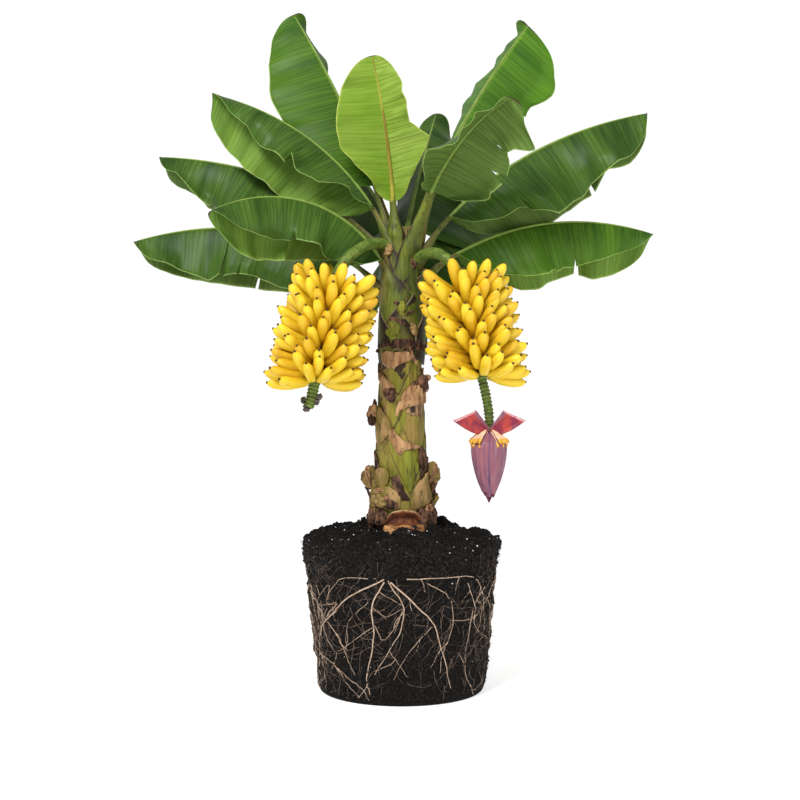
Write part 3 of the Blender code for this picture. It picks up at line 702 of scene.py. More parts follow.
class Finish(Enum):
    """Every finish of the plant."""

    PEAT = Grained(
        "peat", (0.0045, 0.004, 0.0036), (0.022, 0.0185, 0.016), 0.95, 190, low=0.45, high=0.75,
        depth=0.003, shine=0.08,
    )
    # its lighter colour is partly the peat's own lighter crumbs and partly painted highlight on the clods
    CRUMB = Grained(
        "peat crumb", (0.003, 0.0027, 0.0025), (0.06, 0.053, 0.047), 0.8, 240, low=0.52, high=0.85,
        depth=0.002, shine=0.25,
    )
    PERLITE = Grained("perlite", (0.8, 0.79, 0.76), (0.55, 0.53, 0.5), 0.9, 500)
    ROOT = Grained("root", (0.56, 0.42, 0.315), (0.36, 0.245, 0.17), 0.8, 70)
    HAIR = Grained("fine root", (0.24, 0.175, 0.135), (0.075, 0.055, 0.042), 0.85, 50)
    FUZZ = Grained("dark root", (0.03, 0.024, 0.02), (0.075, 0.06, 0.048), 0.85, 50)
    STEM = SheathFinish(
        "stem skin", (0.07, 0.062, 0.007), (0.205, 0.2, 0.016), (0.03, 0.016, 0.009), (0.4, 0.25, 0.135),
        (0.34, 0.2, 0.1),
    )
    PETIOLE = SheathFinish(
        "petiole skin", (0.034, 0.044, 0.006), (0.125, 0.155, 0.014), (0.019, 0.012, 0.006),
        (0.36, 0.27, 0.13), (0.26, 0.17, 0.08), mottle=0.7, worn=(0.19, 0.145, 0.04), worn_share=0.6,
    )
    TAN = Grained(
        "dry sheath tan", (0.46, 0.275, 0.135), (0.18, 0.085, 0.036), 0.85, 48, (1, 1, 0.25), depth=0.002,
        speck=(0.085, 0.038, 0.022),
    )
    BROWN = Grained(
        "dry sheath brown", (0.032, 0.015, 0.01), (0.2, 0.1, 0.056), 0.85, 62, (1, 1, 0.4), 0.42, 0.66,
        depth=0.004, speck=(0.01, 0.005, 0.004),
    )
    GREEN_TAN = Grained(
        "half dry sheath", (0.145, 0.112, 0.018), (0.33, 0.205, 0.085), 0.75, 34, (1, 1, 0.3), 0.38, 0.6,
        depth=0.0015, speck=(0.075, 0.045, 0.018),
    )
    GREEN = Grained(
        "fresh sheath", (0.105, 0.112, 0.01), (0.215, 0.225, 0.022), 0.6, 60, (1, 1, 0.15), depth=0.0012,
        speck=(0.075, 0.045, 0.014),
    )
    MOUTH = Grained(
        "cut sheath", (0.055, 0.015, 0.008), (0.2, 0.07, 0.025), 0.7, 60, (1, 1, 0.5), depth=0.002,
    )
    LIP = Grained(
        "cut sheath lip", (0.5, 0.26, 0.1), (0.24, 0.095, 0.032), 0.7, 45, (0.5, 0.5, 1), 0.42, 0.62,
        depth=0.002, speck=(0.07, 0.03, 0.012),
    )
    CREAM = Grained("cut edge", (0.5, 0.34, 0.19), (0.22, 0.12, 0.055), 0.8, 90)
    RIB = Grained("rib", (0.13, 0.2, 0.032), (0.2, 0.29, 0.055), 0.5, 30)
    YOUNG_RIB = Grained("young rib", (0.3, 0.29, 0.035), (0.19, 0.14, 0.018), 0.5, 9, low=0.42, high=0.58)
    UPPER = BladeFinish(
        "leaf upper side", (0.0185, 0.05, 0.006), (0.058, 0.12, 0.015), (0.26, 0.38, 0.1), 0.4, outer=0.25,
    )
    # painted shade: partly the under side's own colour, darkened for undersides in shadow
    UNDER = BladeFinish(
        "leaf under side", (0.06, 0.115, 0.018), (0.12, 0.195, 0.038), (0.3, 0.42, 0.12), 0.6, 0.0008,
    )
    BRIGHT_UPPER = BladeFinish(
        "upright leaf upper side", (0.026, 0.074, 0.006), (0.064, 0.142, 0.01), (0.28, 0.42, 0.08), 0.44,
        outer=0.45,
    )
    SUNLIT_UPPER = BladeFinish(
        "sunlit leaf upper side", (0.034, 0.108, 0.0065), (0.084, 0.205, 0.012), (0.3, 0.46, 0.08), 0.44,
        outer=0.45,
    )
    # painted light: the under side brightened where light shines through the blade
    FRESH_UNDER = BladeFinish(
        "fresh leaf under side", (0.07, 0.145, 0.015), (0.145, 0.245, 0.034), (0.34, 0.46, 0.12), 0.6,
        0.0008,
    )
    YOUNG_UPPER = BladeFinish(
        "young leaf upper side", (0.085, 0.16, 0.0035), (0.19, 0.28, 0.022), (0.42, 0.46, 0.09), 0.44,
        outer=0.2, shaded_half=0.6, lined=0.12,
    )
    YOUNG_UNDER = BladeFinish(
        "young leaf under side", (0.105, 0.195, 0.007), (0.23, 0.325, 0.052), (0.42, 0.46, 0.09), 0.55,
        0.0008, shaded_half=0.5,
    )
    STALK = Grained(
        "stalk", (0.06, 0.105, 0.013), (0.145, 0.205, 0.036), 0.5, 45, speck=(0.045, 0.065, 0.012),
    )
    SCAR = Grained("stalk scar", (0.02, 0.014, 0.009), (0.075, 0.055, 0.03), 0.8, 120)
    REMAINS = Grained("fruit remains", (0.05, 0.04, 0.038), (0.17, 0.14, 0.12), 0.85, 110, depth=0.002)
    PEEL = Grained(
        "peel", (0.74, 0.53, 0.022), (0.64, 0.4, 0.012), 0.4, 26, low=0.4, high=0.75, depth=0.0002,
        shine=0.35,
    )
    DEEP_PEEL = Grained(
        "deep peel", (0.68, 0.43, 0.014), (0.55, 0.3, 0.009), 0.42, 26, low=0.4, high=0.75, depth=0.0002,
        shine=0.35,
    )
    STUB = Grained("fruit tip", (0.022, 0.012, 0.006), (0.12, 0.07, 0.018), 0.8, 300)
    BRACT = Grained(
        "bract outside", (0.265, 0.095, 0.118), (0.155, 0.066, 0.108), 0.5, 34, (1, 1, 0.1), depth=0.0008,
        speck=(0.24, 0.13, 0.17),
    )
    BRACT_DARK = Grained(
        "bract dark part", (0.1, 0.04, 0.085), (0.17, 0.07, 0.12), 0.5, 60, (1, 1, 0.12), depth=0.0008,
    )
    BRACT_TIP = Grained("bract end", (0.022, 0.008, 0.022), (0.16, 0.022, 0.045), 0.6, 140)
    BRACT_INSIDE = Grained(
        "bract inside", (0.38, 0.045, 0.032), (0.19, 0.022, 0.048), 0.42, 34, (1, 1, 0.6), 0.42, 0.6,
    )
    BRACT_RIM = Grained("bract rim", (0.58, 0.3, 0.3), (0.42, 0.17, 0.2), 0.5, 70)
    FLOWER = Grained("flower", (0.8, 0.6, 0.4), (0.7, 0.4, 0.27), 0.5, 90)
    FLOWER_TIP = Grained("flower tip", (0.78, 0.46, 0.06), (0.58, 0.26, 0.03), 0.5, 200)
    FLOOR = Grained("floor", (0.92, 0.92, 0.92), (0.9, 0.9, 0.9), 0.9, 3, depth=0.0001)


_made: dict[Finish, Material] = {}


def dress(finish: Finish) -> Material:
    """The material of a finish, made once."""
    if finish not in _made:
        _made[finish] = finish.value.make()
    return _made[finish]


# ---- root ball
@dataclass
class Web:
    """Roots of one kind on the ball."""

    ball: "RootBall"
    paths: list[Array] = field(default_factory=list)
    radii: list[Array] = field(default_factory=list)

    def add(self, way: tuple[Array, Array], thick: Array, lift: Array) -> None:
        """Adds a root along azimuths and heights, so far off the wall."""
        self.paths.append(self.ball.wall_point(*way, lift))
        self.radii.append(thick)

    def deliver(self, name: str, tree: Tree, sides: int, finish: Finish) -> None:
        """Makes the roots and hands them over."""
        piece = chains(name, self.paths, self.radii)
        deliver(grow(piece, tree, sides=sides, finish=dress(finish)), "peat")


@dataclass
class RootBall:
    """Black crumbly peat that kept its pot's shape, wrapped in tan roots."""

    foot_radius: float = 0.262
    rim_radius: float = 0.312
    rim_height: float = 0.47
    soil_height: float = 0.5
    seed: int = 11

    FINE_ROOTS = 1150
    HAIRS = 1900
    FRONT_ROOTS = (  # thickest radius in 0.1 mm, then azimuth and height in mm at each bend
        (30, (260, 386), (238, 327), (226, 276), (210, 207), (202, 116), (197, 48)),
        (31, (260, 378), (253, 304), (253, 198), (247, 82), (249, 33)),
        (24, (262, 382), (271, 300), (268, 220), (253, 96)),
        (32, (264, 378), (277, 314), (289, 247), (296, 154), (304, 47)),
        (17, (285, 373), (298, 329), (302, 245), (296, 154)),
        (19, (311, 366), (319, 298), (321, 226), (341, 172)),
        (16, (328, 345), (317, 270), (316, 92), (324, 32)),
        (14, (255, 388), (232, 378), (219, 300), (228, 306)),
        (22, (273, 387), (293, 387), (321, 368), (334, 204)),
        (18, (229, 302), (214, 230), (222, 149)),
        (12, (263, 170), (268, 131), (274, 90)),
        (12, (252, 239), (231, 167), (222, 149)),
        (12, (253, 255), (260, 204), (271, 296), (261, 273), (255, 298)),
        (12, (251, 316), (237, 253), (231, 167)),
        (12, (288, 243), (273, 156), (265, 82)),
        (12, (210, 348), (214, 243), (223, 356), (207, 288), (228, 301)),
        (12, (310, 146), (326, 26), (344, 50)),
    )

    def profile(self, s: Array) -> tuple[Array, Array]:
        """Radius and height along the outline, from the middle of the foot (0) to the stem (1)."""
        rim, top = self.rim_height, self.soil_height
        radii = [
            0.0, self.foot_radius - 0.02, self.foot_radius - 0.004, self.foot_radius,
            self.rim_radius - 0.004,
        ]
        radii += [self.rim_radius, self.rim_radius - 0.009, 0.235, 0.15, 0.098]
        heights = [
            0.0, 0.0, 0.0, 0.008, rim - 0.03, rim - 0.006, rim + 0.014, top - 0.006, top + 0.01, top + 0.012,
        ]
        # the foot takes little of the outline: most points go to the wall and the top
        stops = np.array([0.0, 0.03, 0.05, 0.06, 0.6, 0.64, 0.68, 0.78, 0.92, 1.0])
        return np.interp(s, stops, radii), np.interp(s, stops, heights)

    def rough(self, azimuth: Array, radius: Array, height: Array) -> tuple[Array, Array]:
        """Radius and height after the peat's lumps."""
        place = around(azimuth, radius, height)
        lumps = grains(place, 0.045, self.seed) * 0.0085 + grains(place, 0.016, self.seed + 9) * 0.006
        lumps += grain(place, 0.006, self.seed + 20) * 0.0022
        wall = ramp(height / 0.03)
        soil = ramp((height - self.rim_height + 0.012) / 0.02)
        mound = np.maximum(grains(place, 0.06, self.seed + 30), -0.2) * 0.032
        return radius + lumps * wall * (1 - 0.5 * soil), height + (mound + lumps * 1.5) * soil

    def wall_point(self, azimuth: Array, height: Array, lift: Array) -> Array:
        """Points that lie a little off the wall at azimuths and heights."""
        levels = [0.0, 0.008, self.rim_height - 0.03, self.rim_height]
        s = np.interp(height, levels, [0.045, 0.06, 0.6, 0.645])
        radius, _ = self.profile(s)
        rough, _ = self.rough(np.asarray(azimuth), radius, np.asarray(height, float))
        return around(azimuth, rough + lift, height)

    def peat(self) -> Solid:
        """The peat, with its crumbs strewn over it."""
        s = np.linspace(0.0, 1.0, 170)
        azimuth = np.linspace(0, 360, 280, endpoint=False)
        a, ss = np.meshgrid(azimuth, s)
        points = around(a, *self.rough(a, *self.profile(ss)))
        skin = Skin().grid(points[1:], closed=True, caps=True)
        return deliver(skin.build("root_ball_peat", Finish.PEAT), "peat", "root_ball")

    def strew(self, ground: Solid) -> None:
        """Crumbs, clods and grains of perlite on the peat, each above a lowest height."""
        tree = strewn_tree()
        for name, finish, density, small, large, seed, lowest in (
            ("peat_crumbs", Finish.CRUMB, 5200.0, 0.0018, 0.0048, 3, 0.016),
            ("peat_clods", Finish.CRUMB, 1100.0, 0.004, 0.0085, 5, 0.4),
            ("perlite_grains", Finish.PERLITE, 55.0, 0.001, 0.0024, 8, 0.02),
            ("perlite_on_top", Finish.PERLITE, 330.0, 0.0014, 0.0036, 9, 0.452),
        ):
            mesh = ground.data.copy()
            bm = bmesh.new()
            bm.from_mesh(mesh)
            low = [face for face in bm.faces if face.calc_center_median().z < lowest]
            bmesh.ops.delete(bm, geom=low, context="FACES")
            bm.to_mesh(mesh)
            bm.free()
            piece = placed(name, mesh)
            grow(piece, tree, density=density, smallest=small, largest=large, seed=seed, finish=dress(finish))
            deliver(piece, "peat")

    def walk(
        self, rng: Dice, azimuth: float, height: float, heading: float, length: float, wander: float
    ) -> tuple[Array, Array]:
        """A root's way over the wall.

        Args:
            rng: source of the bends.
            azimuth: where it starts, in degrees.
            height: where it starts.
            heading: degrees from level, turning towards growing azimuths; -90 is straight down.
            length: how far it goes.
            wander: degrees that it may bend at a step.

        Returns:
            Azimuths and heights along it.
        """
        step = 0.011
        count = max(4, int(length / step))
        turns = np.cumsum(rng.normal(0, wander, count)) * 0.55 + heading
        turns += np.linspace(0, rng.normal(0, 14), count)
        rise = np.sin(np.radians(turns)) * step
        level = np.cos(np.radians(turns)) * step
        heights = height + np.concatenate([[0], np.cumsum(rise)])
        azimuths = azimuth + np.degrees(np.concatenate([[0], np.cumsum(level)]) / 0.29)
        inside = (heights > 0.01) & (heights < self.rim_height - 0.004)
        last = len(heights) if inside.all() else max(3, int(np.argmin(inside)))
        return azimuths[:last], np.clip(heights[:last], 0.008, self.rim_height - 0.004)

    def main_roots(self, rng: Dice) -> Web:
        """Main roots with their branches."""
        web = Web(self)
        for tenths, *way in self.FRONT_ROOTS:
            thickest = tenths / 1e4
            bends = smooth_curve([(a, z, 0.0) for a, z in way], 5)
            azimuth, height = bends[:, 0], bends[:, 1] / 1000
            azimuth = azimuth + rng.normal(0, 0.25, len(azimuth))
            thick = np.linspace(thickest, thickest * 0.5, len(height)) * 0.82
            web.add((azimuth, height), thick, 0.8 * thick + 0.0008)
            for _ in range(3 if thickest > 0.002 else 1):
                at = rng.integers(2, len(height) - 1)
                turn, length = rng.uniform(-150, -30), rng.uniform(0.03, 0.09)
                branch = self.walk(rng, azimuth[at], height[at], turn, length, 15)
                thin = np.linspace(0.0011, 0.0006, len(branch[0]))
                web.add(branch, thin, 0.8 * thin)
        for azimuth in np.arange(-20.0, 210.0, 13.0):
            start = azimuth + rng.uniform(-5, 5), rng.uniform(0.26, 0.41)
            heading = rng.uniform(-135, -45)
            way = self.walk(rng, *start, heading, rng.uniform(0.2, 0.42), 12)
            thick = np.linspace(0.0028, 0.0012, len(way[0])) * rng.uniform(0.7, 1.2)
            web.add(way, thick, 0.6 * thick)
            for _ in range(5):
                at = rng.integers(1, max(2, len(way[0]) - 2))
                side = heading + rng.choice([-1, 1]) * rng.uniform(20, 60)
                branch = self.walk(rng, way[0][at], way[1][at], side, rng.uniform(0.06, 0.2), 15)
                thin = np.linspace(0.0013, 0.0006, len(branch[0]))
                web.add(branch, thin, 0.8 * thin)
        return web

    def fine_roots(self, rng: Dice) -> Web:
        """Fine roots, fewer over the middle of the front."""
        web = Web(self)
        for _ in range(self.FINE_ROOTS):
            azimuth = rng.uniform(0, 360)
            height = 0.02 + 0.43 * rng.beta(1.6, 1.3)
            in_front = abs(float(turn_between(azimuth, 268))) < 52
            if rng.random() < (0.75 if height > 0.37 else 0.45) * in_front:
                continue
            way = self.walk(rng, azimuth, height, rng.uniform(-165, -15), rng.uniform(0.03, 0.15), 20)
            thick = np.linspace(0.0007, 0.0004, len(way[0])) * rng.uniform(0.6, 1.4)
            web.add(way, thick, rng.uniform(0.0, 0.002) + thick)
        return web

    def fuzz(self, rng: Dice) -> Web:
        """Short hairs that stand off the wall, none below its foot."""
        web = Web(self)
        for _ in range(self.HAIRS):
            azimuth = rng.uniform(0, 360)
            height = rng.choice([rng.uniform(0.02, 0.46), rng.uniform(0.4, 0.468)])
            start = self.wall_point(np.full(1, azimuth), np.full(1, height), np.zeros(1) - 0.001)[0]
            way = outward(azimuth + rng.normal(0, 50)) + np.array((0, 0, rng.normal(0.1, 0.8)))
            bend = rng.normal(0, 0.5, (4, 3))
            steps = np.arange(4)[:, None] * rng.uniform(0.002, 0.0062)
            hair = start + steps * (unit(way) + bend * np.linspace(0, 1, 4)[:, None])
            hair[:, 2] = np.maximum(hair[:, 2], 0.003)
            web.paths.append(hair)
            web.radii.append(np.linspace(0.0006, 0.0003, 4))
        return web

    def build(self) -> None:
        """Builds the whole ball."""
        self.strew(self.peat())
        rng, tree = np.random.default_rng(self.seed), threads_tree()
        self.main_roots(rng).deliver("main_roots", tree, 6, Finish.ROOT)
        self.fine_roots(rng).deliver("fine_roots", tree, 3, Finish.HAIR)
        self.fuzz(rng).deliver("root_fuzz", tree, 3, Finish.FUZZ)


# ---- stem
TAN, BROWN, GREEN_TAN, GREEN = DRIED = Finish.TAN, Finish.BROWN, Finish.GREEN_TAN, Finish.GREEN


@dataclass(frozen=True)
class Notch:
    """Where the two edges of a wrapped sheath meet in a V on the stem."""

    azimuth: float
    height: float
    slope: float  # rise of its edges in metres for a degree round the stem
    lean: float = 0.0  # how much steeper its right edge is than its left one


@dataclass(frozen=True)
class Patch:
    """A patch on the stem's skin where one of its marks is raised."""

    azimuth: float
    height: float
    half_turn: float
    half_height: float
    mark: str = "dry"
    amount: float = 1.0


@dataclass
class Stem:
    """The stem of wrapped leaf sheaths, layer on layer."""

    low: float = 0.44
    high: float = 1.47
    wrap: float = 0.0048  # thickness of one layer
    notches: tuple[Notch, ...] = made_of(
        Notch,
        (262, 1.241, 0.0022), (283, 1.142, 0.0018), (258, 1.1, 0.0022), (262, 0.935, 0.002, 0.0006),
        (250, 0.825, 0.0023, 0.0004), (287, 0.617, 0.0034), (205, 0.7, 0.0026), (322, 0.68, 0.003),
        (80, 0.72, 0.0028), (140, 0.9, 0.003), (28, 0.84, 0.003), (100, 1.06, 0.0026),
        (190, 1.0, 0.0026), (350, 1.1, 0.0028),
    )
    patches: tuple[Patch, ...] = made_of(
        Patch,
        (246, 1.04, 30, 0.03), (262, 1.018, 20, 0.026, "scar"), (268, 1.09, 80, 0.014, "scar", 0.9),
        (312, 0.895, 32, 0.036, "dry", 0.8), (296, 0.888, 7, 0.012, "scar", 0.8),
        (205, 0.835, 22, 0.07, "dry", 0.8), (298, 0.705, 4, 0.046, "scar", 0.7),
        (330, 0.72, 18, 0.06, "scar", 0.7), (240, 0.7, 4, 0.04, "scar", 0.5),
        (275, 0.69, 9, 0.075, "tone", 0.8), (255, 0.9, 12, 0.06, "tone", 0.6),
        (284, 0.99, 10, 0.04, "tone", 0.5), (258, 1.12, 9, 0.02, "tone", 0.9),
        (280, 0.5, 180, 0.06, "scar", 0.8), (120, 0.8, 40, 0.07), (60, 0.62, 34, 0.06),
        (20, 0.98, 30, 0.05), (160, 1.02, 26, 0.05), (90, 0.9, 20, 0.03, "scar", 0.8),
        (40, 1.06, 60, 0.014, "scar", 0.8),
    )

    def relief(self, a: Array, z: Array) -> tuple[Array, dict[str, Array]]:
        """Radius of the skin and its marks at azimuths and heights."""
        flat = around(a, BARK, z)
        layers, edge, tone, usual = np.zeros_like(z), np.zeros_like(z), np.full_like(z, 0.2), np.zeros_like(z)
        for n, notch in enumerate(self.notches):
            away = turn_between(a, notch.azimuth)
            slope = notch.slope + notch.lean * np.sign(away)
            line = notch.height + np.abs(away) * slope + grain(flat, 0.03, 40 + n) * 0.004
            over = (line - z) / 0.004
            reach = ramp(1.2 - np.abs(away) / 120)
            layers += ramp(over) * reach
            usual += ramp((notch.height + 0.1 - z) / 0.16) * 0.62
            # band along each notch line for the edge finish, whose dark flanks are partly painted shade where
            # one layer steps over the next
            edge = np.maximum(edge, np.exp(-(((line - z) / 0.004) ** 2)) * reach)
            tone += np.where(over > 0, 0.16 * (-1) ** n, 0.0) * reach
        ribs = np.sin(np.radians(a) * 34 + 2 * grain(flat, 0.12, 7)) * 0.0006
        ribs += np.sin(np.radians(a) * 13 + 3 * grain(flat, 0.2, 9)) * 0.0014
        ribs += grains(flat * np.array((1, 1, 0.5)), 0.05, 21) * 0.0022
        marks = {"dry": np.zeros_like(z), "scar": np.zeros_like(z), "tone": tone}
        for n, patch in enumerate(self.patches):
            aside = turn_between(a, patch.azimuth) / patch.half_turn
            reach = np.hypot(aside, (z - patch.height) / patch.half_height)
            raised = patch.amount * ramp((1.2 - reach + 0.9 * grains(flat, 0.022, 60 + n)) * 1.3)
            marks[patch.mark] = np.maximum(marks[patch.mark], raised)
        crease = grains(flat * np.array((1, 1, 0.35)), 0.014, 70)
        crease = crease * 0.002 * np.maximum(marks["dry"], marks["scar"])
        inner = np.clip((layers - usual) * self.wrap, -0.008, 0.008)
        marks["tone"] = np.clip(marks["tone"], 0, 0.85)
        return stem_radius(z) - 0.001 + inner + ribs + crease, {"edge": edge * 0.92, **marks}

    def build(self) -> None:
        """Builds the skin with the relief of its layers."""
        a, z = np.meshgrid(np.linspace(0, 360, 220, endpoint=False), np.linspace(self.low, self.high, 440))
        radius, marks = self.relief(a, z)
        skin = Skin().grid(around(a, radius, z), closed=True, caps=True, **marks)
        deliver(skin.build("stem_skin", Finish.STEM), "stem", "stem")


@dataclass(frozen=True)
class Remnant:
    """A piece of an old sheath on the stem, row by row from its root upward."""

    name: str
    finish: Finish
    crumple: float
    hollow: float  # share of its standing out that its margins lose
    rows: tuple[tuple[float, float, float, float], ...]  # height, from and to azimuth, standing out

    @classmethod
    def drawn(
        cls, name: str, finish: Finish, crumple: float, hollow: float, *rows: Sequence[float],
    ) -> "Remnant":
        """A piece with its crumple and its rows' heights and standing out in millimetres."""
        rows = tuple((z / 1000, a, b, out / 1000) for z, a, b, out in rows)
        return cls(name, finish, crumple / 1000, hollow, rows)

    def turned(self, degrees: float, up: float, finish: Optional[Finish] = None) -> "Remnant":
        """The same piece at another place of the stem."""
        rows = tuple((z + up, a + degrees, b + degrees, out) for z, a, b, out in self.rows)
        return replace(self, rows=rows, finish=finish or self.finish)

    def points(self, stem: Stem) -> Array:
        """Grid of its points over a stem."""
        columns, steps = 30, max(4, 32 // len(self.rows))
        bends = smooth_curve([(z * 400, a, b) for z, a, b, _ in self.rows], steps)
        share = np.linspace(0, 1, len(bends))
        stand = np.interp(share, np.linspace(0, 1, len(self.rows)), [r[3] for r in self.rows])
        t, q = np.meshgrid(share, np.linspace(-1, 1, columns), indexing="ij")
        z = bends[:, :1] / 400 + 0 * q
        start, stop = bends[:, 1:2], bends[:, 2:3]
        seed = int(abs(self.rows[0][1]) * 7 + self.rows[0][0] * 1000) % 5000
        turn = mix(start, stop, (q + 1) / 2)
        flat = around(turn, BARK, z)
        turn = turn + 3.0 * grains(flat, 0.018, seed) * np.abs(q) ** 2
        ends = outward(turn) * BARK + 0.01 * t[..., None]
        z = z + grains(ends, 0.02, seed + 1) * 0.006 * np.clip((t - 0.6) / 0.4, 0, 1)
        z = z - grains(ends, 0.02, seed + 2) * 0.004 * np.clip((0.3 - t) / 0.3, 0, 1)
        folds = grains(flat * np.array((1, 1, 0.6)), 0.016, seed + 3)
        folds = folds - 0.9 * np.abs(grain(flat * np.array((1, 1, 0.4)), 0.02, seed + 4)) + 0.2
        out = stand[:, None] * (1 - self.hollow * np.abs(q) ** 3) + self.crumple * folds * (0.4 + 0.6 * t)
        out = out - 0.0035 * np.clip((0.15 - t) / 0.15, 0, 1)
        return around(turn, stem.relief(turn, z)[0] + 0.0014 + out, z)


@dataclass(frozen=True)
class Lump:
    """A crumpled clump of dried sheath."""

    azimuth: float
    height: float
    out: float
    across: float
    tall: float
    deep: float
    finish: Finish = BROWN
    lean: float = 0.0

    @classmethod
    def drawn(cls, azimuth: float, *rest: object) -> "Lump":
        """A clump with its five lengths in millimetres."""
        return cls(azimuth, *(length / 1000 for length in rest[:5]), *rest[5:])

    def points(self) -> Array:
        """Grid of its points, closed round its rows."""
        seed = int(self.azimuth * 3 + self.height * 900)
        polar, azimuth = np.linspace(3, 177, 30), np.linspace(0, 360, 42, endpoint=False)
        p, a = np.meshgrid(np.radians(polar), np.radians(azimuth), indexing="ij")
        ball = np.stack([np.sin(p) * np.cos(a), np.sin(p) * np.sin(a), -np.cos(p)], axis=-1)
        ridged = 1 - 2.2 * np.abs(grain(ball, 0.62, seed)) + 0.5 * grains(ball, 0.35, seed + 1)
        ball = ball * (0.86 + 0.34 * ridged)[..., None] * np.array((self.deep, self.across, self.tall)) / 2
        lean = math.radians(self.lean)
        y = ball[..., 1] * math.cos(lean) - ball[..., 2] * math.sin(lean)
        up = ball[..., 1] * math.sin(lean) + ball[..., 2] * math.cos(lean)
        level, side = outward(self.azimuth), outward(self.azimuth + 90)
        place = level * (float(stem_radius(self.height)) + self.out + ball[..., :1]) + side * y[..., None]
        place[..., 2] = self.height + up
        return place

    def turned(self, degrees: float, up: float) -> "Lump":
        """The same clump at another place of the stem."""
        return replace(self, azimuth=self.azimuth + degrees, height=self.height + up)


